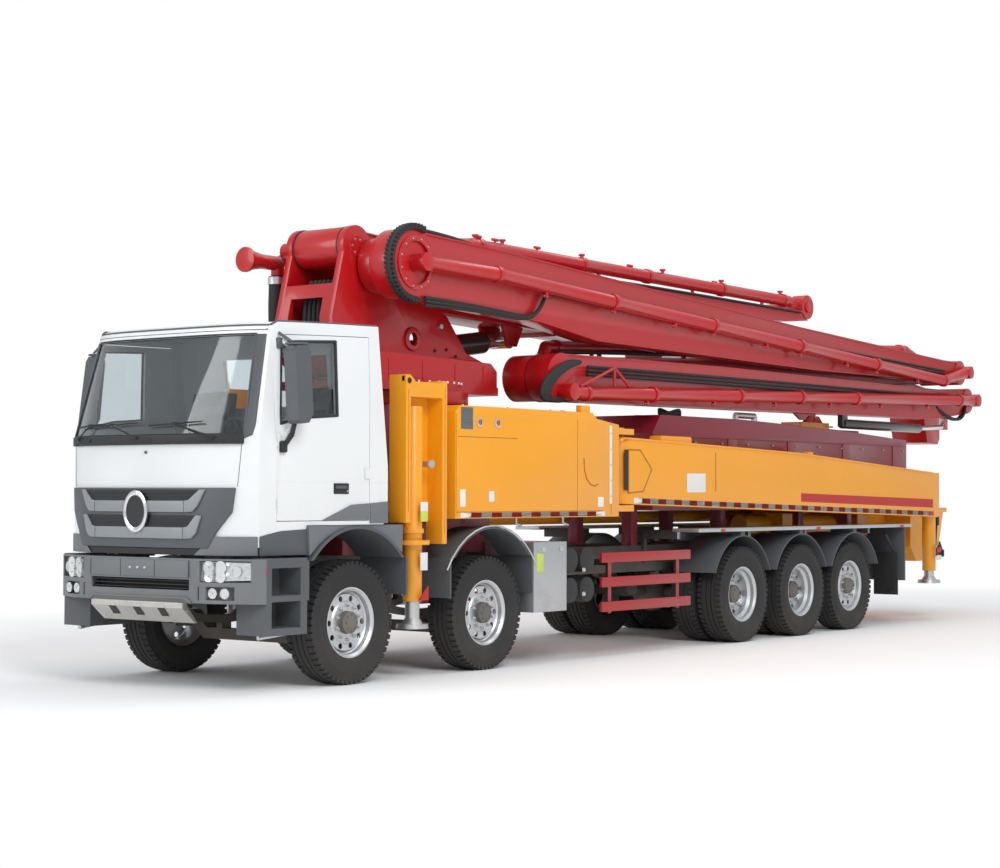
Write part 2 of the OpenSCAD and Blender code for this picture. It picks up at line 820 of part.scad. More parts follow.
// Cab
door_front = -1060;
door_rear = 130;
door_low = cab_floor_z + 40;
// Side outline of the cab in b and z, shrunk by t
module cab_side(t) {
  polygon([[-cab_front + t, cab_floor_z - 180 + t], [-cab_front + t, screen_low_z],
           [-1085 + t * 0.6, cab_roof_z - 60 - t], [-980, cab_roof_z - 20 - t],
           [240 - t, cab_roof_z - t], [cab_rear - t, 1900], [cab_rear - t, cab_floor_z + 60 + t],
           [cab_rear - 60 - t, cab_floor_z + t], [-640, cab_floor_z + t],
           [-700, cab_floor_z - 180 + t]]);
}
module door_outline(grow) {
  offset_low = grow;
  polygon([[door_front - grow, door_low - offset_low], [door_front - grow, 2300],
           [door_front + 75 - grow, 2995 + grow], [door_rear - 20 + grow, 3020 + grow],
           [door_rear + grow, 2500], [door_rear + grow, 1760], [door_rear + grow, door_low - offset_low]]);
}
module door_window(grow) {
  polygon([[-1000 - grow, 2245 - grow], [-1000 - grow, 2330], [-945 - grow, 2935 + grow],
           [-275 + grow, 2965 + grow], [-265 + grow, 2330 - grow], [-700, 2300 - grow]]);
}
module screen_cut(t) {
  // Windscreen opening in y and z
  polygon([[-screen_low_y + t, screen_low_z + t], [screen_low_y - t, screen_low_z + t],
           [screen_top_y - t, screen_top_z - t], [-screen_top_y + t, screen_top_z - t]]);
}
// A door's hinge turns on pins just outside the door's front edge
door_hinge_x = door_front - 3;
door_hinge_y = cab_w / 2 + 9;
door_hinges = [1540, 2080];
knuckle_r = 8;
door_pin_r = 4;
module cab_shell() {
  w = cab_w / 2;
  color("white") {
    // Ears that turn on the tilt pins
    both_sides() {
      for (y = [lug_y[0] - 25, lug_y[1] + 5]) {
        side_form(y, y + 20)
          union() {
            spot(-tilt_x, tilt_z, 30);
            translate([-tilt_x - 30, tilt_z])
              square([60, cab_floor_z - 179 - tilt_z]);
          }
      }
      cross_rod(-tilt_x, tilt_z, lug_y[0] - 25, lug_y[1] + 25, tilt_pin_r);
    }
    both_sides()
      for (z = door_hinges) {
        difference() {
          union() {
            for (low = [z - 30, z + 52]) {
              upright(door_hinge_x, door_hinge_y, low, low + 28, knuckle_r, $fn = 24);
              block(door_hinge_x - 18, door_hinge_x, w - 1, door_hinge_y, low, low + 28);
            }
          }
          upright(door_hinge_x, door_hinge_y, z - 31, z + 81, door_pin_r + run_clear, $fn = 24);
        }
      }
    difference() {
      side_form(-w, w)
        cab_side(0);
      side_form(-w + cab_wall, w - cab_wall)
        cab_side(cab_wall);
      both_sides()
        side_form(w - cab_wall - door_gap, w + 1)
          door_outline(door_gap);
      cross_form(-cab_front - 10, -950)
        screen_cut(0);
      // Rear window
      block(200, 500, -rear_pane_y, rear_pane_y, rear_pane_z[0], rear_pane_z[1]);
    }
  }
}
rear_pane_y = 650;
rear_pane_z = [2450, 2900];
module cab_glass() {
  color("lightblue", 0.4) {
    intersection() {
      cross_form(-cab_front - 10, -1000)
        screen_cut(seat_gap);
      side_form(-cab_w / 2, cab_w / 2)
        difference() {
          cab_side(12);
          cab_side(12 + glass_t);
        }
    }
    intersection() {
      block(200, 500, -rear_pane_y + seat_gap, rear_pane_y - seat_gap,
            rear_pane_z[0] + seat_gap, rear_pane_z[1] - seat_gap);
      side_form(-cab_w / 2, cab_w / 2)
        difference() {
          cab_side(14);
          cab_side(14 + glass_t);
        }
    }
  }
}
module cab_grille() {
  color("dimgray") {
    side_form(-half_w + 185, half_w - 185)
      difference() {
        polygon([[-cab_front - 0.3, 1190], [-cab_front - 30, 1200], [-cab_front - 30, 1330],
                 [-cab_front - 20, 1700], [-cab_front - 0.3, 1710]]);
        polygon([[-cab_front - 60, 1345], [-cab_front - 8, 1345], [-cab_front - 8, 1430],
                 [-cab_front - 60, 1430]]);
        polygon([[-cab_front - 60, 1530], [-cab_front - 8, 1530], [-cab_front - 8, 1615],
                 [-cab_front - 60, 1615]]);
      }
    // Black strip below the windscreen
    side_form(-half_w + 145, half_w - 145)
      polygon([[-cab_front - 0.3, 2060], [-cab_front - 14, 2064], [-cab_front - 14, 2136],
               [-cab_front - 0.3, 2140]]);
  }
}
dash_front = -cab_front + cab_wall + seat_gap;
module cab_interior() {
  color("gray") {
    // Dashboard
    side_form(-half_w + 95, half_w - 95)
      polygon([[dash_front, 1450], [dash_front, 2050], [-1180, 2120], [-980, 2060], [-960, 1850], [-1180, 1450]]);
    block(dash_front, dash_front + 20, -600, 600, cab_floor_z - 180 + cab_wall + seat_gap, 1451);
    // Seats, columns: lateral place
    for (y = [-620, 620]) {
      block(-560, -60, y - 250, y + 250, cab_floor_z + cab_wall + seat_gap, 1850);
      side_form(y - 240, y + 240)
        polygon([[-110, 1849], [60, 2580], [130, 2580], [30, 1840], [-60, 1800]]);
    }
    // Steering wheel and column
    bar([-1010, 620, 1950], [-782, 620, 2124], 30);
    translate([axle_x + 790, 620, 2118])
      rotate([0, -52, 0])
        difference() {
          cylinder(r = 225, h = 26);
          translate([0, 0, -1])
            difference() {
              cylinder(r = 200, h = 28);
              translate([-230, -18, -1])
                cube([460, 36, 30]);
            }
        }
  }
}
module door(side) {
  w = cab_w / 2;
  mirror([0, side < 0 ? 1 : 0, 0]) {
    color("white")
      side_form(w - cab_wall, w)
        difference() {
          door_outline(0);
          door_window(0);
        }
    color("lightblue", 0.4)
      side_form(w - 26 - glass_t, w - 26)
        door_window(0.5);
    // Hinge knuckles on their pins
    color("white")
      for (z = door_hinges) {
        upright(door_hinge_x, door_hinge_y, z, z + 50, knuckle_r, $fn = 24);
        block(door_hinge_x, door_hinge_x + 20, w - 1, door_hinge_y, z, z + 50);
        upright(door_hinge_x, door_hinge_y, z - 26, z + 76, door_pin_r, $fn = 24);
      }
    // Mirror housing with its two brackets
    color("dimgray") {
      side_form(w + 80, w + 230)
        polygon([[-1010, 2270], [-1010, 2850], [-960, 2900], [-830, 2900], [-790, 2850], [-800, 2330],
                 [-860, 2250], [-970, 2240]]);
      bar([-950, w - 2, 2960], [-930, w + 120, 2880], 20);
      bar([-960, w - 2, 2120], [-920, w + 120, 2260], 20);
      block(-1000, -920, w - 1, w + 22, 2050, 2150);
      // Pull handle
      block(60, 118, w - 1, w + 18, 1790, 1880);
    }
  }
}

// Boom
band_1 = [-270, 262];
band_far = [-780, -600];
band_mid = [385, 565];
band_low_mid = [282, 565];
band_near = [585, 865];
pipe_y = 955;
// Swivel elbows of the delivery pipe at the hinges: radius, and how far they reach past its axis
swivel_r = pipe_r + 16;
swivel_past = 76;
stay_y = band_near[1] - web_inset + seat_gap;
head_y = band_near[1] + seat_gap;
// A box beam: webs between two flange plates, with round heads at its hinges
module beam(outline_top, outline_low, band, heads) {
  n = len(outline_top) - 1;
  m = len(outline_low) - 1;
  side_form(band[0] + web_inset, band[1] - web_inset)
    polygon(concat(outline_top, [for (i = [m : -1 : 0]) outline_low[i]]));
  side_form(band[0], band[1]) {
    for (i = [0 : n - 1]) {
      polygon([outline_top[i], outline_top[i + 1], outline_top[i + 1] - [0, flange_t],
               outline_top[i] - [0, flange_t]]);
    }
    for (i = [0 : m - 1]) {
      polygon([outline_low[i], outline_low[i + 1], outline_low[i + 1] + [0, flange_t],
               outline_low[i] + [0, flange_t]]);
    }
    for (h = heads) {
      spot(h[0], h[1], h[2]);
    }
  }
}
// Upright lugs on a pipe, columns: share of the straight
module pipe_lugs(from, to, shares) {
  for (t = shares) {
    p = between(from, to, t);
    bar(p, p + [0, 0, pipe_r + 30], 20);
    bar(p + [0, 0, pipe_r + 25], p + [0, 0, pipe_r + 45], 34);
  }
}
// Arms that hold a side pipe off the web, each from y0 to the pipe
module pipe_stays(from, to, shares, y0) {
  for (t = shares) {
    p = between(from, to, t);
    bar([p[0], y0, p[2]], p, 26);
  }
}
pipe_1_y = -470;
pipe_1 = [[root_x, pipe_1_y, root_z], [2500, pipe_1_y, 3720], [12500, pipe_1_y, 3190],
          [hinge_1_x, pipe_1_y, hinge_1_z]];
module arm_1() {
  color("firebrick") {
    difference() {
      union() {
        beam([[root_x, 4150], [2300, 4080], [8600, 3700], [hinge_1_x - 60, 3170]],
             [[root_x + 60, 3790], [2300, 3452], [5100, 3352], [8600, 3230], [12600, 3050], [hinge_1_x - 60, 2800]],
             band_1, [[root_x, root_z, 182], [hinge_1_x, hinge_1_z, 184]]);
        // Root barrel between the turret plates
        cross_rod(root_x, root_z, -turret_y + turret_plate + 6, turret_y - turret_plate - 6, 188);
        // Tail plate
        side_form(band_1[0], band_1[1])
          polygon([[hinge_1_x - 200, 2900], [hinge_1_x - 40, 2400], [boom_tail - 60, 2380],
                   [boom_tail, 2460], [boom_tail, 3080], [hinge_1_x + 100, 3160]]);
      }
      cross_rod(root_x, root_z, -turret_y, turret_y, pin_r + run_clear);
      cross_rod(hinge_1_x, hinge_1_z, band_1[0] - 1, band_1[1] + 1, pin_r + run_clear);
    }
    // Ears for the lift cylinder's rod
    for (s = [-1, 1]) {
      side_form(s * 150 - 15, s * 150 + 15)
        polygon([[lift_eye_x - 200, 3480], [lift_eye_x - 80, lift_eye_z - 70], [lift_eye_x + 80, lift_eye_z - 70],
                 [lift_eye_x + 220, 3460]]);
    }
  }
  color("red") {
    coupled_pipe(pipe_1, pipe_r);
    clamps(pipe_1[1], pipe_1[2], [0.33, 0.66], pipe_r + 16);
    pipe_stays(pipe_1[1], pipe_1[2], [0.1, 0.37, 0.63, 0.9], band_1[0] + web_inset - seat_gap);
    bar([root_x, pipe_1_y - swivel_past, root_z], [root_x, -turret_y - 8, root_z], swivel_r);
    bar([hinge_1_x, pipe_1_y - swivel_past, hinge_1_z], [hinge_1_x, band_1[0] - seat_gap, hinge_1_z], swivel_r);
  }
}
lift_foot_x = 1400;
lift_foot_z = 2960;
lift_eye_x = 3650;
lift_eye_z = 3270;
pipe_2 = [[hinge_2_x, pipe_y, hinge_2_z - 150], [hinge_2_x + 300, pipe_y, hinge_2_z - 155],
          [12900, pipe_y, 2965], [hinge_1_x, pipe_y, hinge_1_z]];
module arm_2() {
  color("firebrick") {
    difference() {
      beam([[hinge_2_x, 3095], [6700, 3120], [12400, 3100], [hinge_1_x, 3150]],
           [[hinge_2_x, 2610], [8000, 2650], [12300, 2690], [hinge_1_x, 2800]],
           band_near, [[hinge_2_x, hinge_2_z, 250], [hinge_1_x, hinge_1_z, 172]]);
      cross_rod(hinge_2_x, hinge_2_z, band_near[0] - 1, band_near[1] - 60, pin_r + run_clear);
    }
    // Pin of hinge 1, through both bands beside it
    cross_rod(hinge_1_x, hinge_1_z, band_1[0] + 20, band_near[0] + 20, pin_r);
    cross_rod(hinge_1_x, hinge_1_z, band_1[1] + 6, band_near[0] + 10, 110);
    // Fold cylinder under the tail
    bar([9900, 725, 2560], [12100, 725, 2560], 62);
    bar([12090, 725, 2560], [12900, 725, 2600], 32);
    block(9850, 9990, 690, 760, 2520, 2700);
    block(12830, 12960, 690, 760, 2560, 2790);
  }
  color("red") {
    coupled_pipe(pipe_2, pipe_r);
    clamps(pipe_2[1], pipe_2[2], [0.14, 0.34, 0.5, 0.66], pipe_r + 16);
    pipe_stays(pipe_2[1], pipe_2[2], [0.08, 0.2, 0.42, 0.6, 0.8, 0.95], stay_y);
    bar([hinge_2_x, head_y, hinge_2_z - 150], [hinge_2_x, pipe_y + swivel_past, hinge_2_z - 150], swivel_r);
    bar([hinge_1_x, head_y, hinge_1_z], [hinge_1_x, pipe_y + swivel_past, hinge_1_z], swivel_r);
  }
}
pipe_3 = [[hinge_2_x + 260, 424, 3060], [hinge_2_x + 330, 424, 3190], [12300, 424, 3640], [12800, 424, 3500]];
module arm_3() {
  color("firebrick") {
    difference() {
      beam([[hinge_2_x, 3080], [6000, 3190], [12600, 3520], [hinge_3_x, 3500]],
           [[hinge_2_x, 2620], [8000, 2880], [12600, 3190], [hinge_3_x, 3220]],
           band_low_mid, [[hinge_2_x, hinge_2_z, 240], [hinge_3_x, hinge_3_z, 165]]);
      cross_rod(hinge_3_x, hinge_3_z, band_low_mid[0] + 40, band_low_mid[1] + 1, pin_r + run_clear);
    }
    cross_rod(hinge_2_x, hinge_2_z, band_low_mid[1] - 20, band_near[1] - 70, pin_r);
    cross_rod(hinge_2_x, hinge_2_z, band_low_mid[1] - 10, band_near[0] - 6, 110);
  }
  color("red") {
    pipe_run(pipe_3, pipe_r);
    clamps(pipe_3[1], pipe_3[2], [0.02, 0.35, 0.7, 0.98], pipe_r + 14);
    for (t = [0.1, 0.4, 0.7, 0.94]) {
      bar(between(pipe_3[1], pipe_3[2], t) - [0, 0, 170], between(pipe_3[1], pipe_3[2], t), 24);
    }
  }
}
pipe_4 = [[hinge_4_x, pipe_y, hinge_4_z], [2350, pipe_y, 3790], [12400, pipe_y, 3215],
          [hinge_3_x, pipe_y, hinge_3_z]];
module arm_4() {
  color("firebrick") {
    difference() {
      beam([[hinge_4_x, 4110], [2600, 4050], [8500, 3700], [12600, 3510], [hinge_3_x, 3505]],
           [[hinge_4_x, 3500], [3200, 3390], [4200, 3260], [9000, 3190], [hinge_3_x, 3215]],
           band_near, [[hinge_4_x, hinge_4_z, 325], [hinge_3_x, hinge_3_z, 168]]);
      cross_rod(hinge_4_x, hinge_4_z, band_near[0] - 1, band_near[1] - 60, pin_r + run_clear);
    }
    cross_rod(hinge_3_x, hinge_3_z, band_low_mid[0] + 50, band_near[0] + 20, pin_r);
    cross_rod(hinge_3_x, hinge_3_z, band_low_mid[1] + 6, band_near[0] + 10, 100);
  }
  color("red") {
    coupled_pipe(pipe_4, pipe_r);
    clamps(pipe_4[1], pipe_4[2], [0.2, 0.4, 0.6, 0.8], pipe_r + 16);
    pipe_stays(pipe_4[1], pipe_4[2], [0.1, 0.3, 0.5, 0.7, 0.92], stay_y);
    bar([hinge_4_x, head_y, hinge_4_z], [hinge_4_x, pipe_y + swivel_past, hinge_4_z], swivel_r);
    bar([hinge_3_x, head_y, hinge_3_z], [hinge_3_x, pipe_y + swivel_past, hinge_3_z], swivel_r);
  }
}
pipe_5_y = 475;
pipe_5 = [[2100, pipe_5_y, 4085], [2550, pipe_5_y, 4130], [hinge_5_x - 350, pipe_5_y, 4060]];
module arm_5() {
  color("firebrick") {
    difference() {
      beam([[hinge_4_x, 4020], [2600, 4000], [hinge_5_x, 3950]],
           [[hinge_4_x, 3620], [2600, 3650], [8800, 3800], [hinge_5_x, 3840]],
           band_mid, [[hinge_4_x, hinge_4_z, 260]]);
      cross_rod(hinge_5_x, hinge_5_z, band_mid[0] - 1, band_mid[1] + 1, 65);
    }
    difference() {
      cross_rod(hinge_5_x, hinge_5_z, band_mid[0], band_mid[1], 150);
      cross_rod(hinge_5_x, hinge_5_z, band_mid[0] - 1, band_mid[1] + 1, 64.5 + run_clear);
    }
    cross_rod(hinge_4_x, hinge_4_z, band_mid[1] - 20, band_near[1] - 70, pin_r);
    cross_rod(hinge_4_x, hinge_4_z, band_mid[1] - 10, band_near[0] - 6, 120);
  }
  color("red") {
    pipe_run(pipe_5, pipe_r);
    clamps(pipe_5[1], pipe_5[2], [0.02, 0.3, 0.5, 0.75, 0.98], pipe_r + 12);
    pipe_lugs(pipe_5[1], pipe_5[2], [0.01, 0.08, 0.3, 0.55, 0.75, 0.97]);
    for (t = [0.05, 0.35, 0.65, 0.9]) {
      bar(between(pipe_5[1], pipe_5[2], t) - [0, 0, 200], between(pipe_5[1], pipe_5[2], t), 22);
    }
  }
}
tip_x = 1000;
tip_z = 3880;
pipe_6 = [[hinge_5_x - 300, -690, 4120], [1300, -690, 4020], [tip_x, -690, tip_z]];
module arm_6() {
  color("firebrick") {
    beam([[1500, 3960], [hinge_5_x, 4090]], [[1500, 3840], [hinge_5_x, 3920]],
         band_far, [[hinge_5_x, hinge_5_z, 140]]);
    cross_rod(hinge_5_x, hinge_5_z, band_far[1] - 20, band_mid[1] + 14, 64.5);
  }
  color("red") {
    pipe_run(pipe_6, pipe_r - 5);
    clamps(pipe_6[0], pipe_6[1], [0.05, 0.3, 0.6, 0.95], pipe_r + 8);
    // Tip reducer with its clamp ring
    bar([1000, -690, 3880], [760, -690, 3880], pipe_r);
    translate([axle_x - 770, -690, 3880])
      rotate([0, 90, 0])
        cylinder(r1 = pipe_r, r2 = 105, h = 200);
    bar([575, -690, 3880], [545, -690, 3880], 120);
    block(1290, 1520, -760, -620, 3850, 3950);
    // Stub that carries the end hose
    bar([tip_x, -690, tip_z], [tip_x, -690, tip_z - 120], pipe_r - 5);
  }
}
module end_hose() {
  color("black") {
    bar([tip_x, -690, tip_z - 120 - seat_gap], [tip_x, -690, 3600], 78);
    translate([axle_x - tip_x, -690, 3600])
      sphere(r = 78);
    bar([tip_x, -690, 3600], [tip_x - 20, -690, 3240], 78);
  }
}

// Turret and lift cylinder
module turret_side() {
  difference() {
    union() {
      polygon([[620, 3300], [790, 3960], [1130, 3880], [1500, 3600], [2300, 3420], [2620, 3060],
               [2900, 2980], [2900, 2720], [900, 2720], [640, 2960]]);
      spot(root_x, root_z, 195);
    }
    spot(1780, 3150, 92);
  }
}
module turret() {
  color("red")
    difference() {
      union() {
        both_sides()
          side_form(turret_y - turret_plate, turret_y)
            turret_side();
        // Side boxes of the base
        both_sides()
          side_form(turret_y - 1, 550)
            polygon([[1000, 2720], [1000, 2930], [1100, 2990], [2780, 2960], [2880, 2880], [2880, 2720]]);
        block(900, 2900, -550, 550, 2640, 2722);
        upright(slew_x, 0, pedestal_z + 0.3, 2641, slew_r);
        // Front cross plate with its window
        difference() {
          side_form(-turret_y + 1, turret_y - 1)
            polygon([[622, 3300], [700, 3610], [750, 3600], [672, 3290], [700, 2990], [940, 2760],
                     [900, 2721], [642, 2960]]);
          block(500, 800, -200, 200, 3120, 3480);
        }
        // Foot ears for the lift cylinder
        for (s = [-1, 1]) {
          side_form(s * 175 - 22, s * 175 + 22)
            union() {
              polygon([[1180, 2721], [1290, lift_foot_z], [1510, lift_foot_z], [1620, 2721]]);
              spot(lift_foot_x, lift_foot_z, 105);
            }
        }
      }
      cross_rod(lift_foot_x, lift_foot_z, -190, 190, 45 + run_clear);
    }
  color("red")
    cross_rod(root_x, root_z, -turret_y + 1, turret_y - 1, pin_r);
}
lift_dir = [lift_eye_x - lift_foot_x, 0, lift_eye_z - lift_foot_z] /
           norm([lift_eye_x - lift_foot_x, 0, lift_eye_z - lift_foot_z]);
lift_foot = [lift_foot_x, 0, lift_foot_z];
lift_eye = [lift_eye_x, 0, lift_eye_z];
module lift_barrel() {
  color("dimgray")
    difference() {
      union() {
        bar(lift_foot + lift_dir * 60, lift_eye - lift_dir * 320, lift_barrel_r);
        cross_rod(lift_foot_x, lift_foot_z, -188, 188, 45);
        cross_rod(lift_foot_x, lift_foot_z, -145, 145, 90);
      }
      bar(lift_foot + lift_dir * 250, lift_eye - lift_dir * 300, lift_rod_r + run_clear);
    }
}
module lift_rod() {
  color("silver")
    union() {
      bar(lift_foot + lift_dir * 260, lift_eye - lift_dir * 60, lift_rod_r);
      cross_rod(lift_eye_x, lift_eye_z, -125, 125, 92);
    }
}

// Outriggers
front_top_z = 2730;
module front_outrigger(side) {
  mine = side > 0 ? beam_left : beam_right;
  mirror([0, side < 0 ? 1 : 0, 0])
    color("orange") {
      block(mine[0], mine[1], -930, 1046, beam_z0, beam_z1);
      difference() {
        union() {
          // Inverted-U frame round the jack
          block(630, 1220, 1045, 1065, 1400, front_top_z - 60);
          block(630, 700, 1045, half_w, 1400, front_top_z);
          block(1150, 1220, 1045, half_w, 1200, front_top_z - 40);
          block(630, 1220, 1045, half_w, front_top_z - 200, front_top_z - 60);
          upright(front_jack_x, jack_y, 690, 2450, jack_tube_r);
          upright(front_jack_x, jack_y, 1300, 1345, jack_tube_r + 16);
          block(front_jack_x - 40, front_jack_x + 40, 1064, jack_y - 60, 1420, 2430);
        }
        upright(front_jack_x, jack_y, 689, 2400, jack_leg_r + run_clear);
      }
    }
}
module jack_leg(b, y, low_z, top_z, side) {
  mirror([0, side < 0 ? 1 : 0, 0])
    color("silver") {
      upright(b, y, low_z + 40, top_z, jack_leg_r);
      translate([axle_x - b, y, low_z])
        cylinder(r1 = jack_foot_r, r2 = jack_foot_r - 6, h = 42);
      translate([axle_x - b, y, low_z + 41])
        cylinder(r1 = jack_foot_r - 50, r2 = jack_leg_r, h = 50);
    }
}
module rear_outrigger(side) {
  y0 = arm_pivot_y - arm_w / 2;
  y1 = arm_pivot_y + arm_w / 2;
  mirror([0, side < 0 ? 1 : 0, 0])
    color("orange")
      difference() {
        union() {
          intersection() {
            side_form(y0 - 1, y1 + 1)
              polygon([[arm_pivot_x - 200, 1560], [arm_pivot_x - 200, 2250], [7900, 2150],
                       [11500, 1955], [11500, 1370]]);
            plan_form(1300, 2300)
              union() {
                spot(arm_pivot_x, arm_pivot_y, arm_w / 2);
                translate([arm_pivot_x, y0])
                  square([11500 - arm_pivot_x, arm_w]);
              }
          }
          upright(rear_jack_x, arm_pivot_y, 1360, 1950, 110);
          block(11499, rear_jack_x, y0, y1, 1370, 1950);
          upright(rear_jack_x, arm_pivot_y, 655, 1361, jack_tube_r);
          // Pivot pin through both ears of the body box
          upright(arm_pivot_x, arm_pivot_y, 1485, 2350, pivot_pin_r);
        }
        upright(rear_jack_x, arm_pivot_y, 600, 1900, jack_leg_r + run_clear);
      }
}
pivot_pin_r = 45;

frame_rails();
engine_block();
front_axle_beams();
rear_axle_housings();
chassis_tanks();
side_guards();
fenders();
bumper();
headlamps();
skid_plate();
front_boxes();
pedestal();
walkway();
deck_tank();
boom_rest();
pump_unit();
hopper();
hopper_grate();
agitator();
cab_shell();
cab_glass();
cab_grille();
cab_interior();
door(1);  // door_left
door(-1);  // door_right
knuckle(0, 1);  // knuckle_1_left
knuckle(0, -1);  // knuckle_1_right
knuckle(axle_2_back, 1);  // knuckle_2_left
knuckle(axle_2_back, -1);  // knuckle_2_right
knuckle(axle_5_back, 1);  // knuckle_5_left
knuckle(axle_5_back, -1);  // knuckle_5_right
single_wheel(0, 1);  // wheel_1_left
single_wheel(0, -1);  // wheel_1_right
single_wheel(axle_2_back, 1);  // wheel_2_left
single_wheel(axle_2_back, -1);  // wheel_2_right
twin_wheel(axle_3_back, 1);  // wheel_3_left
twin_wheel(axle_3_back, -1);  // wheel_3_right
twin_wheel(axle_4_back, 1);  // wheel_4_left
twin_wheel(axle_4_back, -1);  // wheel_4_right
single_wheel(axle_5_back, 1);  // wheel_5_left
single_wheel(axle_5_back, -1);  // wheel_5_right
turret();
lift_barrel();
lift_rod();
arm_1();
arm_2();
arm_3();
arm_4();
arm_5();
arm_6();
end_hose();
front_outrigger(1);  // front_outrigger_left
front_outrigger(-1);  // front_outrigger_right
rear_outrigger(1);  // rear_outrigger_left
rear_outrigger(-1);  // rear_outrigger_right
jack_leg(front_jack_x, jack_y, 445, 2380, 1);  // front_jack_left
jack_leg(front_jack_x, jack_y, 445, 2380, -1);  // front_jack_right
jack_leg(rear_jack_x, arm_pivot_y, 490, 1880, 1);  // rear_jack_left
jack_leg(rear_jack_x, arm_pivot_y, 490, 1880, -1);  // rear_jack_right
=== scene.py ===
"""A concrete pump truck with its placing boom folded, dressed over its CAD frame."""

import math

import bmesh
import bpy
from mathutils import Matrix, Vector


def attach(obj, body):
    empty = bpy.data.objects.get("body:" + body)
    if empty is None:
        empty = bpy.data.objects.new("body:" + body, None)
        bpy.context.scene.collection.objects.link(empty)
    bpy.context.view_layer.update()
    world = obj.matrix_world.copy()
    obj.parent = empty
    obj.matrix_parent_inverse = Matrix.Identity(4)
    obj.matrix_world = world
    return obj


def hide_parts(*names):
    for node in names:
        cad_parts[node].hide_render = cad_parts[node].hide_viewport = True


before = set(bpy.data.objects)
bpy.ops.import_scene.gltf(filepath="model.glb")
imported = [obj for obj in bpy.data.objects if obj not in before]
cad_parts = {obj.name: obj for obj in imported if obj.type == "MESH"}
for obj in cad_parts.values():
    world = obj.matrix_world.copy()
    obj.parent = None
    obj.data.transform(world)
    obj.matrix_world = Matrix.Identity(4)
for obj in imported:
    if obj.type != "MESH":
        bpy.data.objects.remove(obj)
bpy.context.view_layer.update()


# Camera. The truck is seen from its near front corner, from about a person's
# height above the ground, through a long lens.
CAMERA_PLACE = Vector((19.511, 12.907, 1.669))
CAMERA_YAW = math.radians(-142.808)
CAMERA_PITCH = math.radians(1.656)
CAMERA_ROLL = math.radians(0.156)
FOCAL_SHARE = 2.0356

forward = Vector((math.cos(CAMERA_PITCH) * math.cos(CAMERA_YAW),
                  math.cos(CAMERA_PITCH) * math.sin(CAMERA_YAW), math.sin(CAMERA_PITCH)))
level_right = forward.cross(Vector((0, 0, 1))).normalized()
level_up = level_right.cross(forward)
right = level_right * math.cos(CAMERA_ROLL) + level_up * math.sin(CAMERA_ROLL)
up = level_up * math.cos(CAMERA_ROLL) - level_right * math.sin(CAMERA_ROLL)
camera_data = bpy.data.cameras.new("camera")
camera_data.sensor_width = 36
camera_data.lens = 36 * FOCAL_SHARE
camera_data.clip_end = 200
camera = bpy.data.objects.new("camera", camera_data)
bpy.context.collection.objects.link(camera)
camera.matrix_world = Matrix.Translation(CAMERA_PLACE) @ Matrix((right, up, -forward)).transposed().to_4x4()
bpy.context.scene.camera = camera
bpy.context.scene.view_settings.view_transform = "Standard"


# Shader tools. A socket in a Maths wrapper adds Math nodes as it is used in an
# expression; a Finish holds one material and makes every other node.
class Maths:
    def __init__(self, tree, socket):
        self.tree = tree
        self.socket = socket

    def joined(self, operation, first, second):
        node = self.tree.nodes.new("ShaderNodeMath")
        node.operation = operation
        for slot_number, value in enumerate((first, second)):
            if isinstance(value, Maths):
                self.tree.links.new(value.socket, node.inputs[slot_number])
            elif value is not None:
                node.inputs[slot_number].default_value = value
        return Maths(self.tree, node.outputs[0])

    def __add__(self, other):
        return self.joined("ADD", self, other)

    def __radd__(self, other):
        return self.joined("ADD", other, self)

    def __sub__(self, other):
        return self.joined("SUBTRACT", self, other)

    def __rsub__(self, other):
        return self.joined("SUBTRACT", other, self)

    def __mul__(self, other):
        return self.joined("MULTIPLY", self, other)

    def __rmul__(self, other):
        return self.joined("MULTIPLY", other, self)

    def __gt__(self, other):
        return self.joined("GREATER_THAN", self, other)

    def __lt__(self, other):
        return self.joined("LESS_THAN", self, other)

    def held(self):
        return self.joined("MINIMUM", self.joined("MAXIMUM", self, 0.0), 1.0)


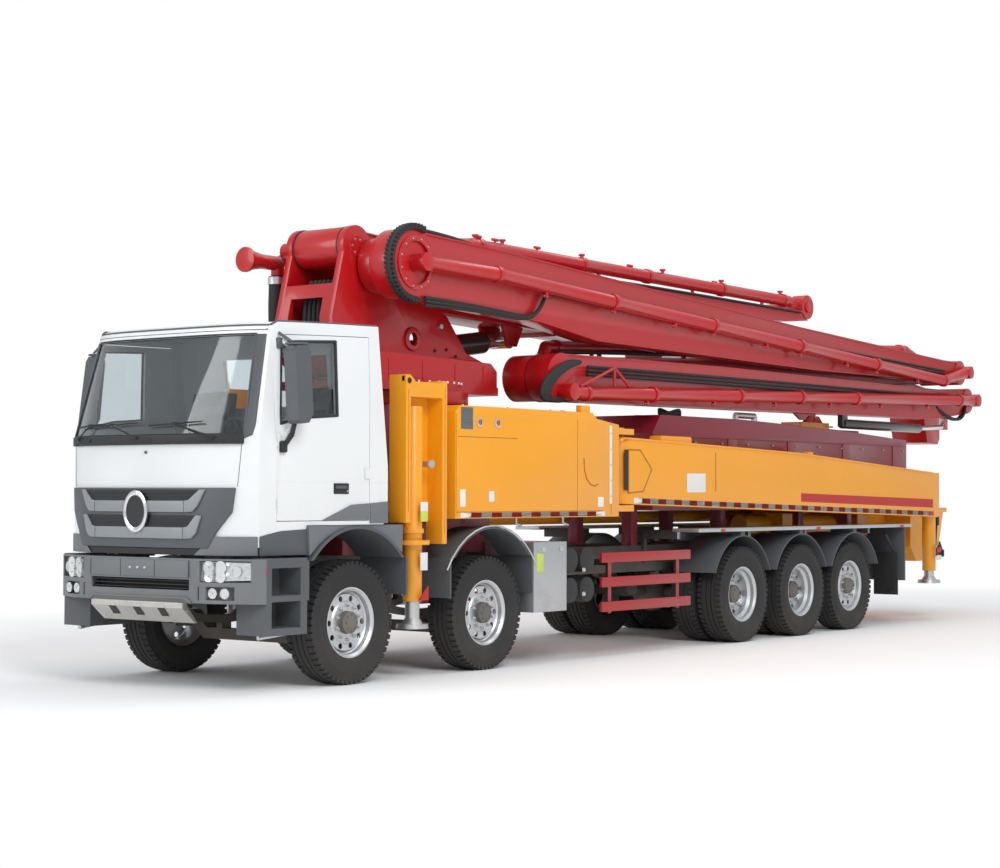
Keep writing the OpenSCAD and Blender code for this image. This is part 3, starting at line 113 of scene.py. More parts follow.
class Finish:
    def __init__(self, name):
        self.material = bpy.data.materials.new(name)
        self.material.use_nodes = True
        self.tree = self.material.node_tree
        self.surface = next(n for n in self.tree.nodes if n.type == "BSDF_PRINCIPLED")
        self.place = self.node("ShaderNodeTexCoord").outputs["Object"]

    def node(self, kind, settings=(), **values):
        node = self.tree.nodes.new(kind)
        for key, value in dict(settings).items():
            setattr(node, key, value)
        for key, value in values.items():
            socket = node.inputs[int(key[1:])] if key[0] == "_" else node.inputs[key.replace("_", " ")]
            self.feed(socket, value)
        return node

    def feed(self, socket, value):
        if isinstance(value, Maths):
            self.tree.links.new(value.socket, socket)
        elif isinstance(value, bpy.types.NodeSocket):
            self.tree.links.new(value, socket)
        else:
            socket.default_value = value

    def set(self, **values):
        for key, value in values.items():
            self.feed(self.surface.inputs[key.replace("_", " ")], value)

    def noise(self, scale, detail=3.0, rough=0.55, stretch=None):
        place = self.place
        if stretch:
            place = self.node("ShaderNodeMapping", Vector=self.place, Scale=stretch).outputs[0]
        made = self.node("ShaderNodeTexNoise", Vector=place, Scale=scale, Detail=detail, Roughness=rough)
        return Maths(self.tree, made.outputs["Factor"] if "Factor" in made.outputs else made.outputs[0])

    def height(self):
        split = self.node("ShaderNodeSeparateXYZ", _0=self.place)
        return Maths(self.tree, split.outputs["Z"])

    def blend(self, share, first, second):
        node = self.node("ShaderNodeMix", {"data_type": "RGBA"})
        self.feed(node.inputs["Factor"], share)
        for socket, value in ((node.inputs[6], first), (node.inputs[7], second)):
            if isinstance(value, tuple):
                socket.default_value = (*value, 1)
            else:
                self.feed(socket, value)
        return node.outputs[2]

    def raised(self, share, depth):
        bump = self.node("ShaderNodeBump", Height=share, Distance=depth, Strength=1.0)
        self.feed(self.surface.inputs["Normal"], bump.outputs[0])


# Stage. A pale floor that keeps the truck's shadow and turns plain white further
# out, under a white world, with three soft lamps.
floor_finish = Finish("floor_white")
floor_finish.set(Base_Color=(0.93, 0.93, 0.93, 1), Roughness=0.9)
spread = floor_finish.node("ShaderNodeMapping", Vector=floor_finish.place, Scale=(1 / 15, 1 / 9, 0))
reach = Maths(floor_finish.tree, floor_finish.node("ShaderNodeVectorMath", {"operation": "LENGTH"},
                                                   _0=spread.outputs[0]).outputs["Value"])
path = floor_finish.node("ShaderNodeLightPath")
seen = (Maths(floor_finish.tree, path.outputs["Is Camera Ray"])
        + Maths(floor_finish.tree, path.outputs["Is Glossy Ray"])
        + Maths(floor_finish.tree, path.outputs["Is Transmission Ray"])).held()
plain = floor_finish.node("ShaderNodeEmission", Color=(1, 1, 1, 1), Strength=1.0)
mixed = floor_finish.node("ShaderNodeMixShader", _0=((reach - 0.62) * 2.4).held() * seen,
                          _1=floor_finish.surface.outputs[0], _2=plain.outputs[0])
floor_finish.tree.links.new(mixed.outputs[0], floor_finish.tree.nodes["Material Output"].inputs[0])

bm = bmesh.new()
bmesh.ops.create_grid(bm, x_segments=2, y_segments=2, size=60)
floor_mesh = bpy.data.meshes.new("floor")
bm.to_mesh(floor_mesh)
bm.free()
floor = bpy.data.objects.new("floor", floor_mesh)
floor_mesh.materials.append(floor_finish.material)
bpy.context.collection.objects.link(floor)

world = bpy.data.worlds.new("studio")
bpy.context.scene.world = world
world.use_nodes = True
sky_tree = world.node_tree
sky = sky_tree.nodes["Background"]
sky.inputs["Color"].default_value = (0.93, 0.96, 1.0, 1)
sky.inputs["Strength"].default_value = 0.62
white = sky_tree.nodes.new("ShaderNodeBackground")
white.inputs["Color"].default_value = (1, 1, 1, 1)
white.inputs["Strength"].default_value = 1.0
path = sky_tree.nodes.new("ShaderNodeLightPath")
seen = (Maths(sky_tree, path.outputs["Is Camera Ray"]) + Maths(sky_tree, path.outputs["Is Glossy Ray"]) * 0.15
        + Maths(sky_tree, path.outputs["Is Transmission Ray"])).held()
mix = sky_tree.nodes.new("ShaderNodeMixShader")
sky_tree.links.new(seen.socket, mix.inputs[0])
sky_tree.links.new(sky.outputs[0], mix.inputs[1])
sky_tree.links.new(white.outputs[0], mix.inputs[2])
sky_tree.links.new(mix.outputs[0], sky_tree.nodes["World Output"].inputs[0])

# Lamps, columns: name, place, aim, size, power
for name, place, aim, size, power in (
        ("key_lamp", (12, 14, 12), (1, 0, 1.5), 8, 1500),
        ("front_lamp", (20, -6, 8), (4, 0, 1.5), 9, 800),
        ("top_lamp", (-4, 2, 16), (0, 0, 2), 12, 900)):
    lamp_data = bpy.data.lights.new(name, "AREA")
    lamp_data.shape = "DISK"
    lamp_data.size = size
    lamp_data.energy = power
    lamp = bpy.data.objects.new(name, lamp_data)
    bpy.context.collection.objects.link(lamp)
    lamp.location = place
    lamp.rotation_euler = (Vector(aim) - Vector(place)).to_track_quat("-Z", "Y").to_euler()


# Paint, metal, plastic and rubber. Each recipe gives a base, a slow change of shade and a fine relief; paint and
# plastic gather dust low on the truck, and metal takes stains.
DUST = (0.32, 0.28, 0.23)


def painted(name, colour, roughness=0.28, coat=0.5, dust=0.35, dust_top=1.6, peel=60.0):
    finish = Finish(name)
    slow = finish.noise(0.9)
    fine = finish.noise(38.0, 4.0)
    settled = ((dust_top - finish.height()) * (0.7 / dust_top) * finish.noise(2.2, 5.0) * 2.2 * dust).held()
    deep = tuple(c * 0.86 for c in colour)
    shade = finish.blend(slow, deep, colour)
    speck = ((fine - 0.66) * 6).held() * 0.25
    worn = finish.blend(speck, shade, tuple(min(1, c * 0.75 + 0.05) for c in colour))
    finish.set(Base_Color=finish.blend(settled, worn, DUST),
               Roughness=(roughness + 0.12 * slow + settled * 0.45).held(),
               Coat_Weight=(coat - settled).held(), Coat_Roughness=0.08)
    finish.raised(finish.noise(peel, 2.0), 0.0006)
    return finish.material


def moulded(name, colour, roughness=0.55, grain=220.0, dust=0.25, dust_top=1.4):
    finish = Finish(name)
    slow = finish.noise(1.4)
    settled = ((dust_top - finish.height()) * (0.7 / dust_top) * finish.noise(3.1, 5.0) * 2.0 * dust).held()
    shade = finish.blend(slow, tuple(c * 0.82 for c in colour), tuple(min(1, c * 1.12) for c in colour))
    finish.set(Base_Color=finish.blend(settled, shade, DUST),
               Roughness=(roughness + 0.15 * slow + settled * 0.3).held())
    finish.raised(finish.noise(grain, 3.0), 0.0006)
    return finish.material


def metal(name, colour, roughness=0.32, stretch=(1, 1, 14), scale=9.0, stain=0.3, relief=0.0004):
    finish = Finish(name)
    brushed = finish.noise(scale, 5.0, 0.6, stretch)
    blot = ((finish.noise(3.4, 5.0) - 0.5) * 3.0).held() * stain
    shade = finish.blend(brushed, tuple(c * 0.78 for c in colour), colour)
    finish.set(Base_Color=finish.blend(blot, shade, tuple(c * 0.45 for c in colour)), Metallic=0.9,
               Roughness=(roughness + 0.2 * brushed + blot * 0.4).held())
    finish.raised(brushed, relief)
    return finish.material


frame_paint = painted("frame_paint", (0.045, 0.047, 0.05), 0.5, 0.1, 0.8, 1.5)
engine_iron = moulded("engine_iron", (0.12, 0.12, 0.125), 0.6, 60.0, 0.6)
tank_aluminium = metal("tank_aluminium", (0.62, 0.63, 0.64))
guard_red = painted("guard_red", (0.40, 0.004, 0.009), 0.34, 0.3, 0.14)
dark_plastic = moulded("dark_plastic", (0.075, 0.08, 0.086), 0.5)
bumper_grey = moulded("bumper_grey", (0.155, 0.165, 0.175), 0.5, 240.0, 0.3)
box_yellow = painted("box_yellow", (0.93, 0.37, 0.004), 0.34, 0.3, 0.16, 2.0)
tank_wine_red = painted("tank_wine_red", (0.24, 0.012, 0.03), 0.35, 0.4, 0.2, 2.4)
cab_white = painted("cab_white", (0.84, 0.85, 0.85), 0.25, 0.6, 0.12, 2.4)
interior_plastic = moulded("interior_plastic", (0.16, 0.165, 0.17), 0.7, 180.0, 0.0)
boom_red = painted("boom_red", (0.50, 0.003, 0.007), 0.3, 0.3, 0.02, 6.0)
cylinder_black = painted("cylinder_black", (0.03, 0.03, 0.032), 0.3, 0.5, 0.1)
rod_chrome = metal("rod_chrome", (0.82, 0.83, 0.84), 0.08, (1, 14, 1), 12.0, 0.1, 0.0001)
hose_rubber = moulded("hose_rubber", (0.022, 0.022, 0.024), 0.62, 160.0, 0.1)
grate_steel = metal("grate_steel", (0.24, 0.23, 0.22), 0.5, (1, 1, 1), 14.0, 0.8, 0.0008)
jack_steel = metal("jack_steel", (0.66, 0.66, 0.65), 0.3, (1, 1, 8), 10.0, 0.25)
knuckle_steel = painted("knuckle_steel", (0.06, 0.06, 0.065), 0.55, 0.1, 0.9, 1.2)
pump_orange = painted("pump_orange", (0.62, 0.21, 0.04), 0.4, 0.3, 0.5, 1.9)

pane = Finish("cab_glass")
pane.set(Base_Color=pane.blend(pane.noise(1.3), (0.70, 0.76, 0.78), (0.78, 0.83, 0.85)),
         Roughness=(pane.noise(4.0) - 0.45).held() * 0.12, Transmission_Weight=1.0, IOR=1.45)
cab_glass = pane.material

SLOT_FINISH = {
    "frame_paint": frame_paint, "engine_iron": engine_iron, "tank_aluminium": tank_aluminium,
    "guard_red": guard_red, "dark_plastic": dark_plastic, "box_yellow": box_yellow,
    "tank_wine_red": tank_wine_red, "cab_white": cab_white, "cab_glass": cab_glass,
    "interior_plastic": interior_plastic, "boom_red": boom_red, "cylinder_black": cylinder_black,
    "rod_chrome": rod_chrome, "hose_rubber": hose_rubber, "grate_steel": grate_steel,
    "jack_steel": jack_steel, "knuckle_steel": knuckle_steel, "tyre_rubber": hose_rubber,
    "lamp_glass": cab_glass,
}
for cad_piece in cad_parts.values():
    for place in cad_piece.material_slots:
        made = place.material.name.split(".")[0] if place.material else ""
        if made in SLOT_FINISH:
            place.material = SLOT_FINISH[made]

# Wheels. Steel discs carry radial tyres with three ribs and blocky shoulders; ten
# nuts hold each disc on its hub, and the driven axles have twins.
AXLE_1_X = 6.16
AXLES = {1: 0.0, 2: 1.92, 3: 6.58, 4: 7.93, 5: 9.28}
TYRE_R = 0.538
TYRE_W = 0.312
BEAD_R = 0.288
SINGLE_FACE_Y = 1.180
TWIN_FACE_Y = 1.245
TWIN_GAP = 0.036
LUGS = 54
STUDS = 10

tyre_rubber = moulded("tyre_rubber", (0.014, 0.014, 0.016), 0.7, 120.0, 0.13, 1.2)
rim_silver = metal("rim_silver", (0.70, 0.71, 0.72), 0.3, (1, 1, 1), 6.0, 0.15)


def at(back, side, height):
    """A place given as metres behind axle 1, to the left, and up."""
    return Vector((AXLE_1_X - back, side, height))


def tag(bm, verts, number):
    for face in {f for v in verts for f in v.link_faces}:
        face.material_index = number


def block(bm, low, high, bevel=0.0, number=0, segments=2):
    """A block between two opposite corners, with its edges broken."""
    low, high = Vector(low), Vector(high)
    size = Vector([abs(a - b) for a, b in zip(low, high)])
    made = bmesh.ops.create_cube(bm, size=1.0, matrix=Matrix.Translation((low + high) / 2)
                                 @ Matrix.Diagonal((*size, 1)))
    tag(bm, made["verts"], number)
    if bevel:
        edges = list({e for v in made["verts"] for e in v.link_edges})
        bmesh.ops.bevel(bm, geom=edges, offset=min(bevel, min(size) * 0.45), offset_type="OFFSET",
                        segments=segments, profile=0.5, affect="EDGES", material=-1)


def rod(bm, start, end, radius, end_radius=None, sides=20, number=0):
    """A round bar between two places, or a cone where the end radius differs."""
    start, end = Vector(start), Vector(end)
    axis = end - start
    turn = axis.to_track_quat("Z", "Y").to_matrix().to_4x4()
    made = bmesh.ops.create_cone(bm, cap_ends=True, segments=sides, radius1=radius,
                                 radius2=radius if end_radius is None else end_radius, depth=axis.length,
                                 matrix=Matrix.Translation((start + end) / 2) @ turn)
    tag(bm, made["verts"], number)


def turned(bm, section, centre, steps, number=0):
    """A closed section of (radius, place across) pairs, spun about a cross axis."""
    centre = Vector(centre)
    verts = [bm.verts.new(centre + Vector((0, across, radius))) for radius, across in section]
    edges = [bm.edges.new(pair) for pair in zip(verts, verts[1:] + verts[:1])]
    old = set(bm.verts) - set(verts)
    bmesh.ops.spin(bm, geom=verts + edges, cent=centre, axis=(0, 1, 0), dvec=(0, 0, 0),
                   angle=2 * math.pi, steps=steps, use_merge=True, use_duplicate=False)
    tag(bm, [v for v in bm.verts if v not in old], number)


def slab(bm, points, lift, bevel=0.0, number=0):
    """A flat outline drawn out by the vector lift."""
    ring = [bm.verts.new(p) for p in points]
    face = bm.faces.new(ring)
    face.material_index = number
    drawn = bmesh.ops.extrude_face_region(bm, geom=[face])
    moved = [v for v in drawn["geom"] if isinstance(v, bmesh.types.BMVert)]
    bmesh.ops.translate(bm, verts=moved, vec=lift)
    tag(bm, ring + moved, number)
    if bevel:
        edges = list({e for v in ring + moved for e in v.link_edges})
        bmesh.ops.bevel(bm, geom=edges, offset=bevel, offset_type="OFFSET", segments=2, profile=0.5,
                        affect="EDGES", material=-1, clamp_overlap=True)


def piece(name, bm, body, slot_name, *finishes):
    """Makes a bmesh an object that rides on a body and shades sharp at its edges."""
    bmesh.ops.remove_doubles(bm, verts=bm.verts, dist=2e-6)
    bmesh.ops.recalc_face_normals(bm, faces=bm.faces)
    for face in bm.faces:
        face.smooth = True
    for edge in bm.edges:
        if len(edge.link_faces) == 2 and edge.calc_face_angle(0) > math.radians(32):
            edge.smooth = False
    mesh = bpy.data.meshes.new(name)
    bm.to_mesh(mesh)
    bm.free()
    for finish in finishes:
        mesh.materials.append(finish)
    made = bpy.data.objects.new(name, mesh)
    bpy.context.collection.objects.link(made)
    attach(made, body)
    return made


def tyre(bm, face_y):
    """A tyre centred on the cross axis, its outer face at face_y."""
    half = TYRE_W / 2
    mid = face_y - half
    groove = 0.013
    flank = [(BEAD_R + 0.004, 0.112), (BEAD_R + 0.02, 0.128), (BEAD_R + 0.06, 0.148), (BEAD_R + 0.075, 0.147),
             (BEAD_R + 0.13, half), (BEAD_R + 0.16, half - 0.001), (BEAD_R + 0.168, half - 0.006),
             (TYRE_R - 0.055, half - 0.008), (TYRE_R - 0.028, half - 0.017)]
    tread = [(TYRE_R - 0.013, 0.104), (TYRE_R - 0.009, 0.082)]
    ribs = []
    for left, right_edge in ((0.078, 0.036), (0.022, -0.022), (-0.036, -0.078)):
        ribs += [(TYRE_R - 0.008 - groove, left + 0.003), (TYRE_R - 0.001, left), (TYRE_R - 0.001, right_edge),
                 (TYRE_R - 0.008 - groove, right_edge - 0.003)]
    section = flank + tread + ribs + [(r, -y) for r, y in reversed(tread)] + [(r, -y) for r, y in reversed(flank)]
    section += [(BEAD_R + 0.001, -0.1), (BEAD_R + 0.001, 0.1)]
    turned(bm, [(r, mid + y) for r, y in section], (0, 0, 0), 72, 0)
    # Shoulder blocks, each a short bar across the tread's edge
    for number in range(LUGS):
        for side, shift in ((1, 0.0), (-1, 0.5)):
            angle = (number + shift) * 2 * math.pi / LUGS
            turn = Matrix.Rotation(angle, 4, "Y")
            shape = (Matrix.Translation((0, mid + side * 0.114, 0)) @ turn
                     @ Matrix.Translation((0, 0, TYRE_R - 0.0155)) @ Matrix.Rotation(side * -0.16, 4, "X")
                     @ Matrix.Diagonal((0.042, 0.062, 0.026, 1)))
            bmesh.ops.create_cube(bm, size=1.0, matrix=shape)


def disc(bm, outer_y, dish, hub_out, hub_r):
    """A wheel disc with round hand holes, its well rim, nuts and hub."""
    flange = [(BEAD_R + 0.020, outer_y + 0.008), (BEAD_R + 0.022, outer_y + 0.002), (BEAD_R + 0.012, outer_y - 0.010),
              (BEAD_R - 0.002, outer_y - 0.016), (BEAD_R - 0.006, outer_y - 0.055), (BEAD_R - 0.034, outer_y - 0.075),
              (BEAD_R - 0.034, outer_y - 0.19), (BEAD_R - 0.004, outer_y - 0.22), (BEAD_R + 0.018, outer_y - 0.232),
              (BEAD_R + 0.008, outer_y - 0.238), (BEAD_R - 0.014, outer_y - 0.222), (BEAD_R - 0.044, outer_y - 0.19),
              (BEAD_R - 0.044, outer_y - 0.078), (BEAD_R - 0.016, outer_y - 0.050), (BEAD_R - 0.010, outer_y - 0.012),
              (BEAD_R + 0.008, outer_y + 0.006)]
    turned(bm, flange, (0, 0, 0), 56, 1)
    face_y = outer_y - dish
    hole_at, hole_r = 0.2145, 0.026
    inner, outer = 0.188, BEAD_R - 0.040
    sheet = []
    for number in range(STUDS):
        middle = number * 2 * math.pi / STUDS
        made = bmesh.ops.create_circle(bm, cap_ends=False, segments=16, radius=hole_r)["verts"]
        edges = list({e for v in made for e in v.link_edges})
        grown = bmesh.ops.extrude_edge_only(bm, edges=edges)["geom"]
        rim_verts = [v for v in grown if isinstance(v, bmesh.types.BMVert)]
        for vert in rim_verts:
            reach = max(abs(vert.co.x), abs(vert.co.y))
            u, w = vert.co.x / reach, vert.co.y / reach
            radius = (inner + outer) / 2 + u * (outer - inner) / 2
            angle = middle + w * math.pi / STUDS
            vert.co = (radius * math.cos(angle), face_y, radius * math.sin(angle))
        for vert in made:
            u, w = vert.co.x, vert.co.y
            vert.co = ((hole_at + u) * math.cos(middle) - w * math.sin(middle), face_y,
                       (hole_at + u) * math.sin(middle) + w * math.cos(middle))
        sheet += made + rim_verts
    faces = list({f for v in sheet for f in v.link_faces})
    bmesh.ops.remove_doubles(bm, verts=sheet, dist=1e-5)
    faces = [f for f in bm.faces if abs(f.calc_center_median().y - face_y) < 1e-6]
    bmesh.ops.recalc_face_normals(bm, faces=faces)
    drawn = bmesh.ops.extrude_face_region(bm, geom=faces)
    moved = [v for v in drawn["geom"] if isinstance(v, bmesh.types.BMVert)]
    bmesh.ops.translate(bm, verts=moved, vec=(0, -0.013, 0))
    tag(bm, moved, 1)
    for face in faces:
        if face.is_valid:
            face.material_index = 1
    turned(bm, [(0.190, face_y), (0.190, face_y - 0.014), (0.100, face_y - 0.014), (0.100, face_y + 0.012),
                (0.176, face_y + 0.012)], (0, 0, 0), 56, 1)
    for number in range(STUDS):
        angle = (number + 0.5) * 2 * math.pi / STUDS
        x, z = 0.150 * math.cos(angle), 0.150 * math.sin(angle)
        rod(bm, (x, face_y + 0.010, z), (x, face_y + 0.036, z), 0.0175, 0.015, 6, 1)
        rod(bm, (x, face_y + 0.034, z), (x, face_y + 0.052, z), 0.0095, 0.008, 10, 1)
    turned(bm, [(0.001, hub_out), (hub_r * 0.62, hub_out), (hub_r * 0.78, hub_out - 0.008), (hub_r, hub_out - 0.02),
                (hub_r, face_y - 0.01), (0.001, face_y - 0.01)], (0, 0, 0), 40, 2)
    for number in range(8):
        angle = number * 2 * math.pi / 8
        x, z = hub_r * 0.7 * math.cos(angle), hub_r * 0.7 * math.sin(angle)
        rod(bm, (x, hub_out - 0.012, z), (x, hub_out + 0.004, z), 0.009, None, 6, 2)


for axle, back in AXLES.items():
    twin = axle in (3, 4)
    for side, word in ((1, "left"), (-1, "right")):
        bm = bmesh.new()
        if twin:
            inner_face = TWIN_FACE_Y - TYRE_W - TWIN_GAP
            tyre(bm, TWIN_FACE_Y)
            tyre(bm, inner_face)
            disc(bm, TWIN_FACE_Y - 0.036, 0.150, TWIN_FACE_Y - 0.105, 0.100)
            turned(bm, [(BEAD_R - 0.004, inner_face - 0.036), (BEAD_R - 0.014, inner_face - 0.27),
                        (BEAD_R - 0.024, inner_face - 0.27), (BEAD_R - 0.018, inner_face - 0.036)], (0, 0, 0), 40, 1)
        else:
            tyre(bm, SINGLE_FACE_Y)
            disc(bm, SINGLE_FACE_Y - 0.036, 0.052, SINGLE_FACE_Y - 0.012, 0.098)
        centre = at(back, 0, TYRE_R)
        bmesh.ops.transform(bm, matrix=Matrix.Translation(centre) @ Matrix.Diagonal((1, side, 1, 1)), verts=bm.verts)
        wheel = piece(f"wheel_dressed_{axle}_{word}", bm, f"wheel_{axle}_{word}", "tyre_rubber",
                      tyre_rubber, rim_silver, knuckle_steel)
        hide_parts(f"wheel_{axle}_{word}")


# Bumper and lamps. A mid-grey moulded bumper with a bolted centre panel, round
# reflectors behind clear covers, twin fog lamps and a red marker at the corner.
BUMPER_FACE = -1.420
LAMP_Y, LAMP_Z = 0.894, 1.010
FOG_Z = 0.830
BUMPER_END_Y = 1.245

lens = Finish("lamp_clear")
lens.set(Base_Color=lens.blend(lens.noise(30.0), (0.90, 0.92, 0.93), (0.97, 0.98, 0.98)), Transmission_Weight=0.9,
         Roughness=(lens.noise(9.0) - 0.4).held() * 0.1, IOR=1.4)
reflector = metal("lamp_reflector", (0.88, 0.88, 0.88), 0.06, (1, 1, 1), 30.0, 0.05, 0.0002)
marker_red = moulded("marker_red", (0.55, 0.02, 0.015), 0.25, 400.0, 0.1)
# Black for rubber seals and flaps; the same black also serves as painted shade in slots, a slit and an eye hole
rubber_and_shade_black = moulded("seal_and_shade_black", (0.018, 0.018, 0.02), 0.5, 200.0, 0.05)

def bowed(bm):
    """Bows the bumper's ends back, as its face is curved in plan."""
    for side in (1, -1):
        for y in (0.2, 0.4, 0.6, 0.78, 0.92, 1.02, 1.10, 1.17):
            bmesh.ops.bisect_plane(bm, geom=bm.verts[:] + bm.edges[:] + bm.faces[:], dist=1e-5,
                                   plane_co=(0, side * y, 0), plane_no=(0, 1, 0))
    for v in bm.verts:
        share = min(1.0, max(0.0, (v.co.x - AXLE_1_X - 1.15) / 0.15))
        v.co.x -= 0.13 * min(1.0, abs(v.co.y) / BUMPER_END_Y) ** 3 * share


bm = bmesh.new()
for side in (1, -1):
    # Housing, then four bowls, each with its bulb
    block(bm, at(-1.368, side * (LAMP_Y - 0.172), LAMP_Z - 0.08),
          at(-1.362, side * (LAMP_Y + 0.05), LAMP_Z + 0.08), 0.004, 0)
    for y, z, bowl in ((-0.098, 0.036, 0.056), (0.020, 0.036, 0.056), (-0.098, -0.042, 0.046),
                       (0.022, -0.042, 0.048)):
        centre = at(-1.372, side * (LAMP_Y + y), LAMP_Z + z)
        rod(bm, centre, centre + Vector((0.034, 0, 0)), bowl * 0.55, bowl, 24, 0)
        rod(bm, centre + Vector((0.03, 0, 0)), centre + Vector((0.040, 0, 0)), 0.012, 0.008, 12, 1)
    slab(bm, [at(-1.360, side * (LAMP_Y + 0.052), LAMP_Z - 0.078),
              at(-1.360, side * (LAMP_Y + 0.052), LAMP_Z + 0.078),
              at(-1.286, side * (LAMP_Y + 0.236), LAMP_Z + 0.074),
              at(-1.286, side * (LAMP_Y + 0.236), LAMP_Z - 0.07)],
         (0.012, 0, 0), 0.003, 0)
    rod(bm, at(-1.336, side * (LAMP_Y + 0.14), LAMP_Z), at(-1.366, side * (LAMP_Y + 0.14), LAMP_Z), 0.034, 0.045,
        20, 1)
    # Clear cover wrapped round the corner
    slab(bm, [at(-1.411, side * (LAMP_Y - 0.176), LAMP_Z - 0.08), at(-1.411, side * (LAMP_Y - 0.160), LAMP_Z + 0.08),
              at(-1.411, side * 0.872, LAMP_Z + 0.082),
              at(-1.411, side * 0.872, LAMP_Z - 0.082)], (-0.004, 0, 0), 0.0015, 2)
    slab(bm, [at(-1.411, side * 0.872, LAMP_Z - 0.082), at(-1.411, side * 0.872, LAMP_Z + 0.082),
              at(-1.322, side * 1.135, LAMP_Z + 0.076),
              at(-1.322, side * 1.135, LAMP_Z - 0.06)], (-0.004, 0, 0), 0.0015, 2)
    for y in (LAMP_Y - 0.06, LAMP_Y + 0.06):
        rod(bm, at(-1.372, side * y, FOG_Z), at(-1.404, side * y, FOG_Z), 0.026, 0.043, 24, 0)
        rod(bm, at(-1.395, side * y, FOG_Z), at(-1.404, side * y, FOG_Z), 0.012, 0.010, 12, 1)
        rod(bm, at(-1.404, side * y, FOG_Z), at(-1.408, side * y, FOG_Z), 0.045, 0.044, 24, 2)
bowed(bm)
lamps = piece("lamps_dressed", bm, "chassis", "lamp_glass", reflector, rim_silver, lens.material)
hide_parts("headlamps")

bm = bmesh.new()
# Centre panel with its tow covers, over the lower air slot
block(bm, at(BUMPER_FACE - 0.009, -0.60, 0.955), at(BUMPER_FACE + 0.004, 0.60, 1.100), 0.006, 0)
for y in (-0.6, -0.21, 0.21, 0.6):
    block(bm, at(BUMPER_FACE - 0.0105, y - 0.003, 0.957), at(BUMPER_FACE - 0.008, y + 0.003, 1.098), 0.001, 1)
for y in (-0.09, 0.0, 0.09):
    rod(bm, at(BUMPER_FACE - 0.009, y, 1.03), at(BUMPER_FACE - 0.016, y, 1.03), 0.013, 0.010, 16, 2)
# Dark louvres inside the lower slot, and a black plate closing its back as painted shade
for z in (0.865, 0.895, 0.925):
    block(bm, at(BUMPER_FACE + 0.020, -0.6, z - 0.004), at(BUMPER_FACE + 0.075, 0.6, z + 0.004), 0.002, 1)
# Black plate at the back of the slot: painted shade for its depth
block(bm, at(BUMPER_FACE + 0.078, -0.598, 0.851), at(BUMPER_FACE + 0.084, 0.598, 0.939), 0.002, 1)
for side in (1, -1):
    block(bm, at(-1.235, side * 1.2445, 0.98), at(-1.185, side * 1.251, 1.04), 0.004, 3)
    block(bm, at(BUMPER_FACE - 0.006, side * 0.70, 0.775), at(BUMPER_FACE + 0.002, side * 0.705, 0.885), 0.001, 1)
# The lip above the skid plate
slab(bm, [at(BUMPER_FACE - 0.012, -0.64, 0.748), at(BUMPER_FACE - 0.012, -0.58, 0.792),
          at(BUMPER_FACE - 0.012, 0.58, 0.792),
          at(BUMPER_FACE - 0.012, 0.64, 0.748), at(BUMPER_FACE - 0.012, 0.60, 0.748),
          at(BUMPER_FACE - 0.012, 0.555, 0.778),
          at(BUMPER_FACE - 0.012, -0.555, 0.778), at(BUMPER_FACE - 0.012, -0.60, 0.748)], (-0.012, 0, 0), 0.002, 0)
bowed(bm)
piece("bumper_trim", bm, "chassis", "dark_plastic", bumper_grey, rubber_and_shade_black, rim_silver, marker_red)


# Skid plate. Bright pressed steel with a rolled upper rim and three slots, each a thin black sheet on the face as
# painted shade for the opening.
SKID_FRONT = -1.440
skid_steel = metal("skid_steel", (0.66, 0.64, 0.60), 0.3, (1, 10, 1), 8.0, 0.4)
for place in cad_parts["skid_plate"].material_slots:
    place.material = skid_steel
bm = bmesh.new()
rod(bm, at(SKID_FRONT + 0.012, -0.52, 0.737), at(SKID_FRONT + 0.012, 0.52, 0.737), 0.013, None, 16, 0)
for side in (1, -1):
    rod(bm, at(SKID_FRONT + 0.012, side * 0.52, 0.737), at(SKID_FRONT + 0.06, side * 0.556, 0.672), 0.013, 0.010,
        14, 0)
# Slots: thin black sheets on the steel face, painted shade for the openings, each under a steel lip
for y in (-0.30, 0.0, 0.30):
    slab(bm, [at(SKID_FRONT - 0.0015, y - 0.045, 0.700), at(SKID_FRONT - 0.0015, y + 0.045, 0.700),
              at(SKID_FRONT + 0.082, y + 0.02, 0.6235),
              at(SKID_FRONT + 0.082, y - 0.07, 0.6235)], (-0.0012, 0, -0.0012), 0, 1)
    rod(bm, at(SKID_FRONT - 0.002, y - 0.05, 0.7015), at(SKID_FRONT - 0.002, y + 0.05, 0.7015), 0.004, None, 8, 0)
piece("skid_trim", bm, "chassis", "tank_aluminium", skid_steel, rubber_and_shade_black)


# Cab and doors. A white pressed-steel day cab with rounded outer edges; the doors
# hang in it with black seals, tinted panes and a tall dark mirror housing each.
CAB_SIDE_Y = 1.245
CAB_MIDDLE = (-0.5, 2.2)
PANE_DEPTH = (0.024, 0.036)
trim_grey = moulded("trim_grey", (0.085, 0.092, 0.10), 0.45, 240.0, 0.1)
lip_grey = moulded("lip_grey", (0.26, 0.275, 0.29), 0.35, 240.0, 0.1)


def narrowed(bm):
    """Cuts a cab piece into strips, draws its nose in and bows the front back."""
    cuts = [((AXLE_1_X + x, 0, 0), (1, 0, 0)) for x in (0.3, 0.6, 0.85, 1.0, 1.1, 1.2, 1.3)]
    cuts += [((0, side * y, 0), (0, 1, 0)) for side in (1, -1)
             for y in (0.2, 0.4, 0.6, 0.78, 0.92, 1.02, 1.10, 1.17)]
    for place, normal in cuts:
        bmesh.ops.bisect_plane(bm, geom=bm.verts[:] + bm.edges[:] + bm.faces[:], dist=1e-5,
                               plane_co=place, plane_no=normal)
    for v in bm.verts:
        forward = v.co.x - AXLE_1_X
        if forward > 0:
            rise = min(1.0, max(0.0, (v.co.z - 2.15) / 0.9))
            share = min(1.0, forward / (1.395 - 0.32 * rise))
            across = min(1.0, abs(v.co.y) / CAB_SIDE_Y)
            v.co.x -= (0.265 - 0.095 * rise) * across ** 3.5 * share ** 3
            v.co.y *= 1 - (0.09 + 0.06 * rise) * share * across ** 2


